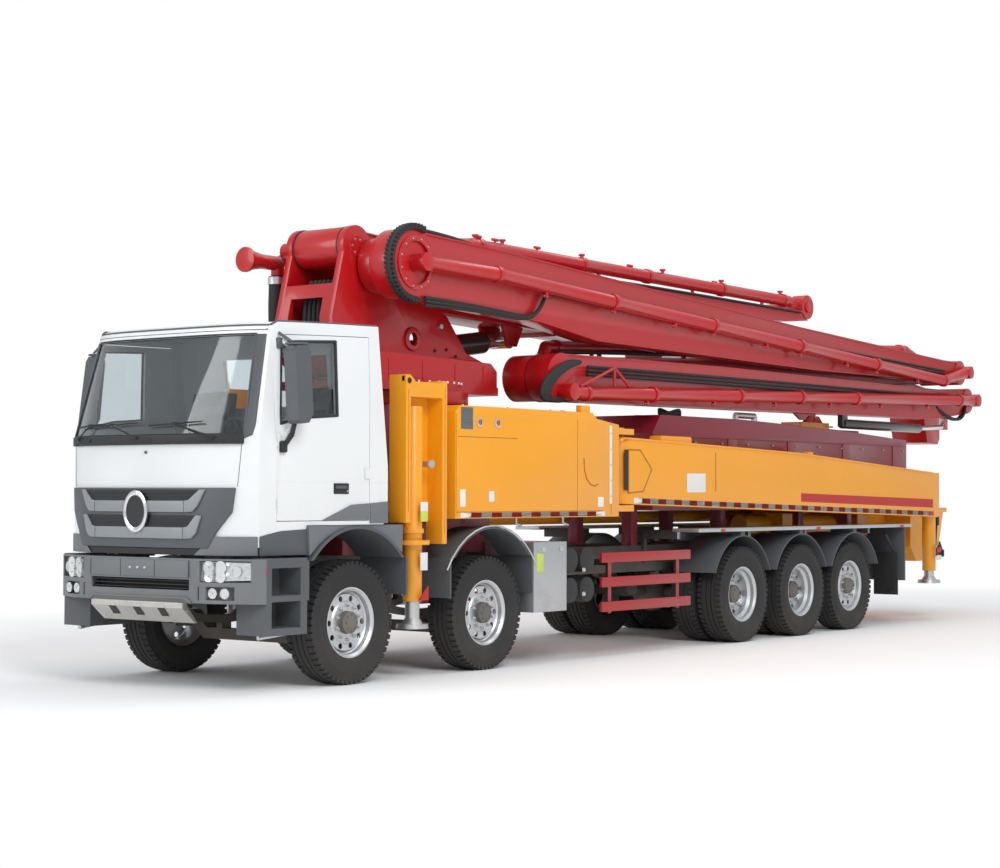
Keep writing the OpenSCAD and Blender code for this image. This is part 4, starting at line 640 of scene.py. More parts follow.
def dressed(node, body, width, finishes, number_of=None, chosen=None, segments=2, shaped=None):
    """A copy of a CAD piece with broken edges, and a finish chosen by place."""
    bm = bmesh.new()
    bm.from_mesh(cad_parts[node].data)
    bmesh.ops.remove_doubles(bm, verts=bm.verts, dist=1e-5)
    bmesh.ops.dissolve_limit(bm, angle_limit=math.radians(0.6), verts=bm.verts, edges=bm.edges)
    for face in bm.faces:
        face.material_index = number_of(face.calc_center_median()) if number_of else 0
    edges = [e for e in bm.edges if len(e.link_faces) == 2 and e.calc_face_angle(0) > math.radians(28)
             and (chosen is None or chosen(e))]
    if width:
        bmesh.ops.bevel(bm, geom=edges, offset=width, offset_type="OFFSET", segments=segments, profile=0.5,
                        affect="EDGES", material=-1, clamp_overlap=True)
    if shaped:
        shaped(bm)
    mesh = bpy.data.meshes.new(f"{node}_dressed")
    for face in bm.faces:
        face.smooth = True
    for edge in bm.edges:
        edge.smooth = not (len(edge.link_faces) == 2 and edge.calc_face_angle(0) > math.radians(32))
    bm.to_mesh(mesh)
    bm.free()
    for finish in finishes:
        mesh.materials.append(finish)
    made = bpy.data.objects.new(f"{node}_dressed", mesh)
    bpy.context.collection.objects.link(made)
    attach(made, body)
    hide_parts(node)
    return made


def outer_edge(edge):
    """Is this edge where a side of the cab meets its front, roof, back or floor?"""
    if any(abs(abs(v.co.y) - CAB_SIDE_Y) > 0.002 for v in edge.verts):
        return False
    for face in edge.link_faces:
        if abs(face.normal.y) < 0.3:
            middle = face.calc_center_median()
            ahead, above = middle.x - (AXLE_1_X - CAB_MIDDLE[0]), middle.z - CAB_MIDDLE[1]
            outward = ahead * face.normal.x + above * face.normal.z
            return outward > 0
    return False


dressed("cab_shell", "cab", 0.045, [cab_white], None, outer_edge, 4, narrowed)
dressed("cab_glass", "cab", 0, [cab_glass], shaped=narrowed)
dressed("bumper", "chassis", 0.014, [bumper_grey], shaped=bowed)


def door_part(place):
    depth = CAB_SIDE_Y - abs(place.y)
    if depth < -0.07:
        return 2
    return 1 if PANE_DEPTH[0] < depth < PANE_DEPTH[1] and place.z > 2.2 else 0


for word in ("left", "right"):
    dressed(f"door_{word}", f"door_{word}", 0, [cab_white, cab_glass, trim_grey], door_part,
            shaped=narrowed)

SCREEN_LOW = (-1.395, 2.150)
SCREEN_TOP = (-1.0995, 2.990)


def on_screen(side, height, proud=0.0):
    """A place on the sloping plane of the windscreen."""
    share = (height - SCREEN_LOW[1]) / (SCREEN_TOP[1] - SCREEN_LOW[1])
    return at(SCREEN_LOW[0] + share * (SCREEN_TOP[0] - SCREEN_LOW[0]) - proud, side, height)


bm = bmesh.new()
# Rubber round the screen, dark pillars beside it, and the rain strip on the roof
corners = [on_screen(1.135, 2.145), on_screen(1.092, 2.996), on_screen(-1.092, 2.996), on_screen(-1.135, 2.145)]
for start, end in zip(corners, corners[1:] + corners[:1]):
    rod(bm, start, end, 0.014, None, 10, 0)
for side in (1, -1):
    slab(bm, [on_screen(side * 1.12, 2.12, 0.014), on_screen(side * 1.19, 2.15, 0.014),
              on_screen(side * 1.205, 2.24, 0.014),
              on_screen(side * 1.205, 3.0, 0.014), on_screen(side * 1.07, 3.0, 0.014)], (-0.03, 0, -0.01), 0.004, 1)
    rod(bm, at(-1.070, side * 1.222, 3.079), at(-0.98, side * 1.226, 3.109), 0.012, None, 10, 1)
    rod(bm, at(-0.98, side * 1.226, 3.109), at(0.235, side * 1.226, 3.127), 0.012, None, 10, 1)
slab(bm, [at(-1.098, -1.21, 3.03), at(-1.098, 1.21, 3.03), at(-1.072, 1.21, 3.082), at(-1.072, -1.21, 3.082)],
     (-0.006, 0, 0.003), 0.0015, 1)
# Black strip under the screen, bulged over the wiper spindles, and its two vents
block(bm, at(-1.426, -1.13, 2.068), at(-1.404, 1.13, 2.150), 0.010, 0)
for y in (-0.78, 0.02, 0.72):
    block(bm, at(-1.432, y - 0.13, 2.092), at(-1.420, y + 0.13, 2.130), 0.005, 2)
# Wipers: spindle, arm and blade
for foot, reach, blade in ((0.86, -0.52, 0.62), (-0.02, -0.42, 0.66), (-0.86, 0.16, 0.50)):
    start = at(-1.430, foot, 2.128)
    rod(bm, start, start + Vector((0.022, 0, 0)), 0.017, 0.013, 12, 2)
    knee = on_screen(foot + reach * 0.9, 2.245, 0.028)
    rod(bm, start + Vector((0.018, 0, 0)), knee, 0.0075, 0.0055, 8, 2)
    rod(bm, on_screen(foot + reach * 0.9 - blade / 2, 2.232, 0.020),
        on_screen(foot + reach * 0.9 + blade / 2, 2.258, 0.020),
        0.008, 0.006, 8, 2)
    block(bm, knee - Vector((0.016, 0.025, 0.010)), knee + Vector((0.006, 0.025, 0.012)), 0.004, 2)
# Panel joints of the white front, the tow-eye cover and washer nozzles
for side in (1, -1):
    rod(bm, at(-1.3955, side * 1.10, 2.065), at(-1.3955, side * 1.065, 1.715), 0.0022, None, 6, 2)
    for y in (0.35, 0.95):
        rod(bm, at(-1.426, side * y, 2.075), at(-1.436, side * y, 2.075), 0.008, 0.006, 10, 2)
rod(bm, at(-1.395, 0.06, 2.005), at(-1.407, 0.06, 2.005), 0.014, 0.011, 14, 1)
narrowed(bm)
piece("cab_front_trim", bm, "cab", "cab_white", rubber_and_shade_black, trim_grey, hose_rubber)

# Grille in two tiers, narrower below: slots with slanted ends over winged lips, moulded in grey plastic, with a bare
# oval ring at the middle. Each slot is a thin black sheet on the face, painted shade for the opening.
bm = bmesh.new()
GRILLE_FACE = -1.424
slab(bm, [at(GRILLE_FACE, -1.06, 1.705), at(GRILLE_FACE, -1.03, 1.50), at(GRILLE_FACE, -0.88, 1.33),
          at(GRILLE_FACE, -0.80, 1.20), at(GRILLE_FACE, 0.80, 1.20), at(GRILLE_FACE, 0.88, 1.33),
          at(GRILLE_FACE, 1.03, 1.50), at(GRILLE_FACE, 1.06, 1.705)], (-0.024, 0, 0), 0.008, 3)
for low, high, top_y, low_y in ((1.600, 1.690, 0.71, 0.60), (1.378, 1.475, 0.67, 0.59)):
    # The slot: a thin black sheet on the face, painted shade for the opening
    slab(bm, [at(GRILLE_FACE - 0.001, -top_y, high), at(GRILLE_FACE - 0.001, -low_y, low),
              at(GRILLE_FACE - 0.001, low_y, low), at(GRILLE_FACE - 0.001, top_y, high)], (0.0015, 0, 0), 0, 2)
    for z in (low + 0.03, low + 0.06):
        reach = low_y + (top_y - low_y) * (z - low) / (high - low) - 0.02
        block(bm, at(GRILLE_FACE - 0.002, -reach, z - 0.003), at(GRILLE_FACE - 0.008, reach, z + 0.003), 0.002, 2)
    for side in (1, -1):
        # Wing of the lip, up the slot's slanted end, and its tapered tail
        slab(bm, [at(GRILLE_FACE, side * (top_y + 0.015), high), at(GRILLE_FACE, side * (low_y + 0.01), low + 0.004),
                  at(GRILLE_FACE, side * (low_y - 0.04), low - 0.004),
                  at(GRILLE_FACE, side * (low_y - 0.04), low - 0.10),
                  at(GRILLE_FACE, side * (low_y + 0.05), low - 0.095),
                  at(GRILLE_FACE, side * (low_y + 0.10), low - 0.05),
                  at(GRILLE_FACE, side * (top_y + 0.075), high)], (0.020, 0, 0), 0.007, 1)
    block(bm, at(GRILLE_FACE, -low_y + 0.045, low - 0.10), at(GRILLE_FACE - 0.019, low_y - 0.045, low - 0.004),
          0.007, 1)
block(bm, at(-1.396, -0.76, 1.142), at(-1.402, 0.76, 1.205), 0.003, 2)
ring = [(0.140, -0.012), (0.158, -0.003), (0.158, 0.012), (0.140, 0.018), (0.122, 0.012), (0.122, -0.003)]
old_verts = set(bm.verts)
turned(bm, ring, (0, 0, 0), 40, 4)
rod(bm, (0, -0.006, 0), (0, 0.004, 0), 0.126, 0.122, 40, 2)
fresh = [v for v in bm.verts if v not in old_verts]
bmesh.ops.transform(bm, verts=fresh, matrix=Matrix.Translation(at(GRILLE_FACE - 0.024, 0, 1.505))
                    @ Matrix.Diagonal((1, 0.92, 1.12, 1)) @ Matrix.Rotation(math.radians(-90), 4, "Z"))
for side in (1, -1):
    # Grey cladding over the lamps, under the white corner
    slab(bm, [at(-1.400, side * 0.645, 1.142), at(-1.400, side * 0.84, 1.300), at(-1.400, side * 1.243, 1.300),
              at(-1.400, side * 1.243, 1.142)], (0.014, 0, 0), 0.005, 0)
narrowed(bm)
grille = piece("grille_dressed", bm, "cab", "dark_plastic", bumper_grey, lip_grey, rubber_and_shade_black, trim_grey,
               rod_chrome)
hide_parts("cab_grille")

DOOR_PANE = [(-1.0, 2.245), (-1.0, 2.33), (-0.945, 2.935), (-0.275, 2.965), (-0.265, 2.33), (-0.70, 2.30)]
for side, word in ((1, "left"), (-1, "right")):
    bm = bmesh.new()
    for start, end in zip(DOOR_PANE, DOOR_PANE[1:] + DOOR_PANE[:1]):
        rod(bm, at(start[0], side * 1.243, start[1]), at(end[0], side * 1.243, end[1]), 0.014, None, 10, 0)
        rod(bm, at(start[0], side * 1.243, start[1]) - Vector((0, side * 0.002, 0)),
            at(start[0], side * 1.243, start[1]) + Vector((0, side * 0.012, 0)), 0.014, 0.010, 12, 0)
    # Handle plate at the crease, with its grip and lock, and the creases in the skin
    block(bm, at(-0.31, side * 1.240, 1.655), at(-0.13, side * 1.252, 1.748), 0.008, 0)
    block(bm, at(-0.295, side * 1.250, 1.70), at(-0.165, side * 1.264, 1.728), 0.006, 1)
    rod(bm, at(-0.15, side * 1.25, 1.68), at(-0.15, side * 1.256, 1.68), 0.010, 0.008, 14, 2)
    rod(bm, at(-1.055, side * 1.2445, 1.757), at(0.125, side * 1.2445, 1.757), 0.003, None, 6, 3)
    # Arch cladding on the foot of the door
    slab(bm, [at(-0.45, side * 1.244, 1.432), at(-0.10, side * 1.244, 1.562), at(0.125, side * 1.244, 1.575),
              at(0.125, side * 1.244, 1.432)], (0, side * 0.012, 0), 0.004, 4)
    # Mirror: rim, two panes and the small wide-angle glass above
    for low, high in ((2.335, 2.60), (2.625, 2.84)):
        block(bm, at(-0.792, side * 1.345, low), at(-0.780, side * 1.455, high), 0.004, 2)
    block(bm, at(-0.985, side * 1.320, 2.905), at(-0.800, side * 1.468, 2.925), 0.008, 1)
    rod(bm, at(-0.995, side * 1.262, 3.01), at(-0.960, side * 1.40, 2.93), 0.015, 0.013, 10, 1)
    block(bm, at(-1.03, side * 1.246, 2.88), at(-0.90, side * 1.275, 2.97), 0.008, 1)
    # Lower arm of the mirror, bent down to its foot on the door
    for start, end in (((-0.93, 1.36, 2.27), (-0.955, 1.345, 2.16)), ((-0.955, 1.345, 2.16), (-0.99, 1.27, 2.05))):
        rod(bm, at(start[0], side * start[1], start[2]), at(end[0], side * end[1], end[2]), 0.026, 0.022, 12, 0)
    block(bm, at(-1.035, side * 1.244, 2.0), at(-0.945, side * 1.285, 2.10), 0.014, 0)
    # Housing of the kerb mirror, over the side glass
    block(bm, at(-1.00, side * 1.33, 2.845), at(-0.82, side * 1.44, 2.90), 0.02, 1)
    narrowed(bm)
    piece(f"door_trim_{word}", bm, f"door_{word}", "cab_white", rubber_and_shade_black, trim_grey, reflector, cab_white,
          bumper_grey)

bm = bmesh.new()
for side in (1, -1):
    # Rear quarter: the crease, the arch cladding and the sill under the door
    rod(bm, at(0.136, side * 1.2445, 1.757), at(0.372, side * 1.2445, 1.757), 0.003, None, 6, 0)
    slab(bm, [at(0.137, side * 1.244, 1.40), at(0.137, side * 1.244, 1.575), at(0.378, side * 1.244, 1.59),
              at(0.378, side * 1.244, 1.40)], (0, side * 0.012, 0), 0.004, 2)
    slab(bm, [at(-1.385, side * 1.242, 1.14), at(-1.385, side * 1.242, 1.30), at(-1.0, side * 1.242, 1.345),
              at(-0.60, side * 1.242, 1.36), at(-0.56, side * 1.242, 1.30), at(-0.60, side * 1.242, 1.14)],
         (0, side * 0.012, 0), 0.004, 1)
    rod(bm, at(-1.063, side * 1.244, 1.42), at(-1.063, side * 1.244, 1.34), 0.0025, None, 6, 0)
# Hand rails and louvres of the cab's back wall
for side in (1, -1):
    rod(bm, at(0.412, side * 1.12, 1.65), at(0.412, side * 1.12, 2.75), 0.013, None, 12, 1)
    for z in (1.70, 2.20, 2.70):
        rod(bm, at(0.37, side * 1.12, z), at(0.412, side * 1.12, z), 0.010, None, 10, 1)
for step in range(8):
    z = 1.62 + step * 0.055
    block(bm, at(0.372, -0.45, z), at(0.392, 0.45, z + 0.02), 0.004, 1)
narrowed(bm)
piece("cab_side_trim", bm, "cab", "cab_white", cab_white, trim_grey, bumper_grey)

# Wheel-house lining between the front arches and the cab's sill.
bm = bmesh.new()
for side in (1, -1):
    arc = [at(-0.86 * math.cos(math.radians(t)), side * 1.175, 0.54 + 0.835 * math.sin(math.radians(t)))
           for t in range(45, 136, 10)]
    slab(bm, arc + [at(0.62, side * 1.175, 1.385), at(-0.62, side * 1.175, 1.385)], (0, side * 0.05, 0), 0.004, 0)
piece("arch_lining", bm, "chassis", "dark_plastic", bumper_grey)


# Cab interior. A moulded dashboard with a hooded panel, a three-spoke wheel, and two
# cloth seats with bolstered cushions and separate head rests.
seat_cloth = moulded("seat_cloth", (0.055, 0.058, 0.065), 0.9, 420.0, 0.05)
dressed("cab_interior", "cab", 0.01, [trim_grey], shaped=narrowed)
for side, word in ((1, "left"), (-1, "right")):
    for part, low, high, tilt in (("cushion", (-0.565, 0.365, 1.832), (-0.075, 0.875, 1.925), 0),
                                  ("backrest", (-0.085, 0.385, 1.90), (0.035, 0.855, 2.40), 8),
                                  ("headrest", (-0.035, 0.475, 2.44), (0.050, 0.765, 2.61), 8)):
        bm = bmesh.new()
        block(bm, at(low[0], side * low[1], low[2]), at(high[0], side * high[1], high[2]), 0.03, 0, 2)
        bmesh.ops.subdivide_edges(bm, edges=[e for e in bm.edges if e.calc_length() > 0.12], cuts=5,
                                  use_grid_fill=True)
        middle = sum((v.co for v in bm.verts), Vector()) / len(bm.verts)
        half = [max(abs((v.co - middle)[axis]) for v in bm.verts) for axis in range(3)]
        thin = 2 if part == "cushion" else 0
        for v in bm.verts:
            away = v.co - middle
            crown = 1.0
            for axis in range(3):
                if axis != thin:
                    crown *= 1 - (abs(away[axis]) / half[axis]) ** 4
            sewn = 0.010 if abs(abs(away.y) / half[1] - 0.62) < 0.07 else 0.0
            v.co[thin] += (0.022 * crown - sewn) * (1 if away[thin] > 0 else -0.2)
        bmesh.ops.rotate(bm, verts=bm.verts, cent=at(-0.03, 0, 1.9),
                         matrix=Matrix.Rotation(math.radians(-tilt), 3, "Y"))
        pad = piece(f"seat_{part}_{word}", bm, "cab", "interior_plastic", seat_cloth)
        round_off = pad.modifiers.new("round_off", "SUBSURF")
        round_off.levels = round_off.render_levels = 1


# Body boxes. Welded steel boxes in yellow enamel beside the pedestal, with a vent,
# two lifting holes in bright bushes, pressed seams, blank labels and striped tape.
BOX_SIDE_Y = 1.245
ARM_SIDE_Y = 1.230
label_white = moulded("label_white", (0.78, 0.78, 0.76), 0.5, 300.0, 0.1)
label_green = moulded("label_green", (0.55, 0.68, 0.10), 0.5, 300.0, 0.15)
tape_red = moulded("tape_red", (0.48, 0.007, 0.006), 0.35, 500.0, 0.05)
vent_grey = metal("vent_grey", (0.25, 0.26, 0.27), 0.5, (1, 1, 30), 5.0, 0.3)
seam_shade = moulded("seam_shade", (0.42, 0.17, 0.01), 0.6, 200.0, 0.2)

for word in ("left", "right"):
    dressed(f"front_outrigger_{word}", f"front_outrigger_{word}", 0.022, [box_yellow])
    dressed(f"rear_outrigger_{word}", f"rear_outrigger_{word}", 0.012, [box_yellow])
dressed("front_boxes", "chassis", 0.014, [box_yellow])


def striped_tape(bm, start, end, tall, side_y, count, numbers):
    """Alternating blocks of tape from one (back, height) place to another."""
    outward = 0.0015 if side_y > 0 else -0.0015
    for step in range(count):
        near = [start[k] + (end[k] - start[k]) * step / count for k in (0, 1)]
        far = [start[k] + (end[k] - start[k]) * (step + 1) / count for k in (0, 1)]
        slab(bm, [at(near[0], side_y, near[1]), at(far[0], side_y, far[1]), at(far[0], side_y, far[1] + tall),
                  at(near[0], side_y, near[1] + tall)], (0, outward, 0), 0, numbers[step % 2])


def seam(bm, places, side_y, number, radius=0.004):
    """A bead along (back, height) places on a side."""
    for start, end in zip(places, places[1:]):
        rod(bm, at(start[0], side_y, start[1]), at(end[0], side_y, end[1]), radius, None, 6, number)


bm = bmesh.new()
for side in (1, -1):
    y = side * BOX_SIDE_Y
    out = side * 0.004
    # Vent with its louvres
    block(bm, at(1.42, y - out, 2.26), at(1.60, y + out, 2.465), 0.004, 1)
    for step in range(7):
        block(bm, at(1.435, y + out, 2.275 + step * 0.027), at(1.585, y + 2 * out, 2.288 + step * 0.027), 0.002, 1)
    # Bright bushes in the lifting holes
    for b in (1.70, 1.98):
        turned(bm, [(0.028, -0.004), (0.045, -0.004), (0.045, 0.006), (0.038, 0.010), (0.028, 0.010)],
               at(b, y, 2.33), 28, 2)
    # Lid line, raised hook outline, foot line, panel seams and the pale hinge post
    seam(bm, [(1.38, 2.19), (2.30, 2.19)], y, 5, 0.0035)
    seam(bm, [(3.41, 2.02), (3.42, 1.90), (3.46, 1.81), (3.53, 1.755), (3.60, 1.74), (3.66, 1.76)], y, 5, 0.007)
    seam(bm, [(1.36, 1.49), (3.75, 1.49)], y, 5, 0.004)
    for b in (1.352, 3.30, 3.90):
        seam(bm, [(b, 1.45), (b, 2.40)], y, 5, 0.003)
    block(bm, at(3.865, y - out, 1.56), at(3.905, y + 2 * out, 2.36), 0.006, 3)
    for step in range(5):
        rod(bm, at(3.885, y + out, 1.64 + step * 0.16), at(3.885, y + 4 * out, 1.64 + step * 0.16), 0.010, 0.008,
            8, 2)
    # Blank labels and the tape along the foot
    for b0, b1, z0, z1 in ((1.41, 1.49, 1.54, 1.70), (1.85, 1.93, 1.585, 1.685), (3.66, 3.76, 1.53, 1.63)):
        block(bm, at(b0, y, z0), at(b1, y + out / 2, z1), 0.0008, 3)
    striped_tape(bm, (1.42, 1.438), (3.78, 1.438), 0.045, y, 15, (3, 4))
    # Tow hooks and pipe stubs under the box
    for b in (2.44, 3.22):
        rod(bm, at(b, side * 1.12, 1.43), at(b, side * 1.12, 1.37), 0.012, None, 10, 2)
        rod(bm, at(b, side * 1.12, 1.372), at(b + 0.09, side * 1.12, 1.35), 0.012, None, 10, 2)
    # Cap screws along the top edge
    for b in (1.50, 2.20, 2.90):
        rod(bm, at(b, side * 1.20, 2.479), at(b, side * 1.20, 2.49), 0.014, 0.012, 6, 2)
piece("box_trim", bm, "chassis", "box_yellow", box_yellow, vent_grey, rim_silver, label_white, tape_red, seam_shade)

for side, word in ((1, "left"), (-1, "right")):
    # Front outrigger: pins half way up, labels, warning triangle and the top eye, its hole a black disc on the face
    # as painted shade
    bm = bmesh.new()
    for b in (0.675, 1.015):
        rod(bm, at(b, side * 1.10, 1.93), at(b, side * 1.22, 1.93), 0.030, 0.030, 18, 1)
        rod(bm, at(b, side * 1.22, 1.93), at(b, side * 1.235, 1.93), 0.042, 0.036, 18, 1)
    slab(bm, [at(0.63, side * 1.185, 2.66), at(0.63, side * 1.185, 2.725), at(0.715, side * 1.185, 2.725),
              at(0.80, side * 1.185, 2.66)], (0, side * 0.05, 0), 0.01, 0)
    # Eye hole: a black disc, painted shade for the opening
    rod(bm, at(0.674, side * 1.24, 2.675), at(0.674, side * 1.25, 2.675), 0.030, 0.026, 20, 2)
    ring = [(0.140, -0.02), (0.158, -0.02), (0.158, 0.02), (0.140, 0.02)]
    centre = at(0.85, side * 1.14, 1.22)
    old_verts = set(bm.verts)
    turned(bm, ring, (0, 0, 0), 32, 0)
    bmesh.ops.transform(bm, verts=[v for v in bm.verts if v not in old_verts],
                        matrix=Matrix.Translation(centre) @ Matrix.Rotation(math.radians(90), 4, "X"))
    for z0, z1, number in ((1.50, 1.585, 3), (1.41, 1.50, 4), (0.97, 1.13, 3)):
        block(bm, at(0.80, side * 1.27, z0), at(0.90, side * 1.2795, z1), 0.002, number)
    slab(bm, [at(0.92, side * 1.262, 0.83), at(0.92, side * 1.262, 0.70), at(0.78, side * 1.262, 0.70)],
         (0, side * 0.012, 0), 0.001, 5)
    seam(bm, [(1.185, 1.30), (1.185, 2.62)], side * 1.245, 6, 0.003)
    seam(bm, [(0.665, 1.50), (0.665, 2.60)], side * 1.245, 6, 0.003)
    piece(f"front_outrigger_trim_{word}", bm, f"front_outrigger_{word}", "box_yellow", box_yellow, rim_silver,
          rubber_and_shade_black, label_white, label_green, tape_red, seam_shade)

    # Rear outrigger: the pressed six-sided outline, a slit drawn as a black strip for painted shade, label, stripe
    # and tape
    bm = bmesh.new()
    y = side * ARM_SIDE_Y
    out = side * 0.004
    six = [(4.24, 2.12), (4.46, 2.12), (4.68, 1.92), (4.52, 1.69), (4.24, 1.67), (4.24, 2.12)]
    seam(bm, six, y, 1, 0.007)
    # The slit: a thin black strip on the face, painted shade for the opening
    block(bm, at(4.165, y - out, 1.70), at(4.235, y + out / 4, 2.12), 0.002, 2)
    block(bm, at(5.965, y - out, 1.69), at(5.985, y + out / 4, 2.12), 0.002, 1)
    block(bm, at(5.38, y, 1.68), at(5.76, y + out / 2, 1.885), 0.001, 3)
    slab(bm, [at(7.91, y, 1.575), at(7.91, y, 1.675), at(11.48, y, 1.60), at(11.48, y, 1.49)], (0, out / 3, 0), 0, 4)
    striped_tape(bm, (4.34, 1.565), (11.50, 1.385), 0.055, y, 46, (3, 4))
    seam(bm, [(4.10, 2.235), (7.9, 2.135), (11.5, 1.94)], y, 0, 0.009)
    # Stiffener on the top edge and the lifting lug
    block(bm, at(4.98, side * 1.00, 2.20), at(5.60, side * 1.16, 2.285), 0.02, 0)
    block(bm, at(8.30, side * 1.04, 2.11), at(8.42, side * 1.12, 2.17), 0.01, 0)
    # Valve block and hoses beside the rear jack
    block(bm, at(11.805, side * 1.02, 1.25), at(11.87, side * 1.14, 1.62), 0.012, 2)
    for dy in (-0.03, 0.0, 0.03):
        rod(bm, at(11.845, side * (1.08 + dy), 1.26), at(11.82, side * (1.08 + dy * 0.6), 0.92), 0.012, None, 8, 2)
    for z in (0.80, 0.90):
        block(bm, at(11.60, side * 1.215, z), at(11.74, side * 1.226, z + 0.06), 0.002, 3 if z < 0.85 else 4)
    piece(f"rear_outrigger_trim_{word}", bm, f"rear_outrigger_{word}", "box_yellow", box_yellow, seam_shade,
          rubber_and_shade_black, label_white, tape_red)


# Turret and boom. Plate box beams in red gloss; the pipe runs along their outer side
# in couplings, and black hoses follow it, looping past every hinge.
def hose(bm, places, radius, number=0, sides=3):
    """A hose on a smooth curve through its places, capped at both ends."""
    path = bpy.data.curves.new("hose_path", "CURVE")
    path.dimensions = "3D"
    path.bevel_depth = radius
    path.bevel_resolution = sides
    path.use_fill_caps = True
    path.resolution_u = 5
    line = path.splines.new("NURBS")
    line.points.add(len(places) - 1)
    for point, place in zip(line.points, places):
        point.co = (*place, 1)
    line.order_u = min(4, len(places))
    line.use_endpoint_u = True
    holder = bpy.data.objects.new("hose_path", path)
    tube = bpy.data.meshes.new_from_object(holder)
    old_faces = set(bm.faces)
    bm.from_mesh(tube)
    for face in bm.faces:
        if face not in old_faces:
            face.material_index = number
    bpy.data.objects.remove(holder)
    bpy.data.curves.remove(path)
    bpy.data.meshes.remove(tube)


ROOT_PIN_R = 0.055


def eased(back, height, radius, extra=0.003):
    """Opens a bore across the truck, so that its pin turns free of the facets."""
    def shaped(bm):
        for v in bm.verts:
            arm = Vector((v.co.x - AXLE_1_X + back, v.co.z - height))
            if abs(arm.length - radius) < 0.0015:
                arm *= extra / radius
                v.co += Vector((arm.x, 0, arm.y))
    return shaped


dressed("turret", "turret", 0.010, [boom_red])
dressed("arm_1", "arm_1", 0.008, [boom_red], shaped=eased(0.96, 3.975, ROOT_PIN_R))
dressed("arm_3", "arm_3", 0.006, [boom_red])
dressed("arm_4", "arm_4", 0.008, [boom_red])
dressed("arm_5", "arm_5", 0.006, [boom_red])
dressed("arm_6", "arm_6", 0.006, [boom_red])


def arm_2_part(place):
    back = AXLE_1_X - place.x
    if 9.80 < back < 12.05 and place.z < 2.625:
        return 1
    return 2 if 12.05 <= back < 12.93 and place.z < 2.635 else 0


dressed("arm_2", "arm_2", 0.008, [boom_red, cylinder_black, rod_chrome], arm_2_part)

bm = bmesh.new()
# Ring bolts of the slewing ring, pin caps of the root, and the hoses in the window
for step in range(36):
    turn = math.radians(step * 10)
    place = at(1.95 - 0.655 * math.cos(turn), 0.655 * math.sin(turn), 2.722)
    rod(bm, place, place + Vector((0, 0, 0.022)), 0.018, 0.016, 6, 1)
for side in (1, -1):
    rod(bm, at(0.96, side * 0.358, 3.975), at(0.96, side * 0.368, 3.975), 0.105, 0.100, 32, 0)
    for step in range(6):
        turn = math.radians(step * 60)
        rod(bm, at(0.96 + 0.07 * math.cos(turn), side * 0.367, 3.975 + 0.07 * math.sin(turn)),
            at(0.96 + 0.07 * math.cos(turn), side * 0.374, 3.975 + 0.07 * math.sin(turn)), 0.013, 0.011, 6, 1)
    turned(bm, [(0.060, -0.004), (0.115, -0.004), (0.115, 0.012), (0.105, 0.018), (0.068, 0.018), (0.060, 0.012)],
           at(1.78, side * 0.362, 3.152), 36, 0)
    rod(bm, at(2.20, side * 0.358, 3.30), at(2.20, side * 0.385, 3.30), 0.028, 0.024, 16, 1)
    for b, z in ((2.30, 3.08), (2.45, 3.02), (2.12, 3.06), (1.30, 3.60), (1.30, 3.00)):
        rod(bm, at(b, side * 0.358, z), at(b, side * 0.374, z), 0.017, 0.015, 6, 2)
    for b in (1.20, 1.70, 2.20, 2.65):
        block(bm, at(b, side * 0.540, 2.74), at(b + 0.012, side * 0.556, 2.93), 0.002, 0)
for k, y in enumerate((-0.13, -0.075, -0.02, 0.035, 0.09, 0.145)):
    hose(bm, [at(0.86, y, 2.75), at(0.80, y * 1.1, 3.05), at(0.76 + 0.01 * k, y * 0.9, 3.30),
              at(0.80, y, 3.50), at(0.88, y, 3.66)], 0.022, 2)
piece("turret_trim", bm, "turret", "boom_red", boom_red, rim_silver, hose_rubber)

bm = bmesh.new()
# Root drum's dark end rings, cross ribs, and hoses along the top
for side in (1, -1):
    turned(bm, [(0.168, -0.006), (0.192, -0.006), (0.192, 0.006), (0.168, 0.006)], at(0.96, side * 0.272, 3.975),
           36, 1)
for share in (0.2, 0.4, 0.6, 0.8):
    b = 2.2 + share * 10.5
    z = 3.46 - share * 0.58
    block(bm, at(b, -0.255, z), at(b + 0.014, 0.248, z + 0.10), 0.002, 0)
for y in (-0.13, -0.09, 0.11):
    hose(bm, [at(1.9, y, 3.985), at(4.2, y, 3.925), at(8.0, y, 3.64), at(12.4, y, 3.25)], 0.016, 1)
piece("arm_1_trim", bm, "arm_1", "boom_red", boom_red, hose_rubber)

bm = bmesh.new()
# Hoses round the front of arm 2, a guard frame on its pipe, and clip ears
for k in range(4):
    d = k * 0.045
    hose(bm, [at(3.72 + d, 0.885, 3.02), at(3.42 + d, 0.905, 2.96), at(3.10 + d, 0.91, 2.74),
              at(3.16 + d, 0.905, 2.56), at(3.50 + d, 0.89, 2.63), at(3.95 + d, 0.882, 2.70)], 0.024, 1)
for y, z in ((0.878, 2.90), (0.878, 2.94), (0.878, 2.98)):
    hose(bm, [at(4.0, y, z), at(6.5, y, z + 0.02), at(9.5, y, z + 0.015), at(12.7, y, z + 0.02)], 0.015, 1)
for start, end in (((3.72, 2.76), (4.34, 2.98)), ((4.34, 2.98), (4.62, 2.80)), ((4.34, 2.98), (4.34, 2.79))):
    rod(bm, at(start[0], 0.985, start[1]), at(end[0], 0.985, end[1]), 0.017, None, 10, 0)
for share in (0.12, 0.27, 0.42, 0.57, 0.72, 0.87):
    b, z = 3.9 + share * 9.2, 2.70 + share * 0.27
    block(bm, at(b - 0.02, 0.935, z - 0.118), at(b + 0.02, 0.975, z - 0.06), 0.004, 0)
    rod(bm, at(b - 0.035, 0.955, z - 0.10), at(b + 0.035, 0.955, z - 0.10), 0.010, None, 6, 2)
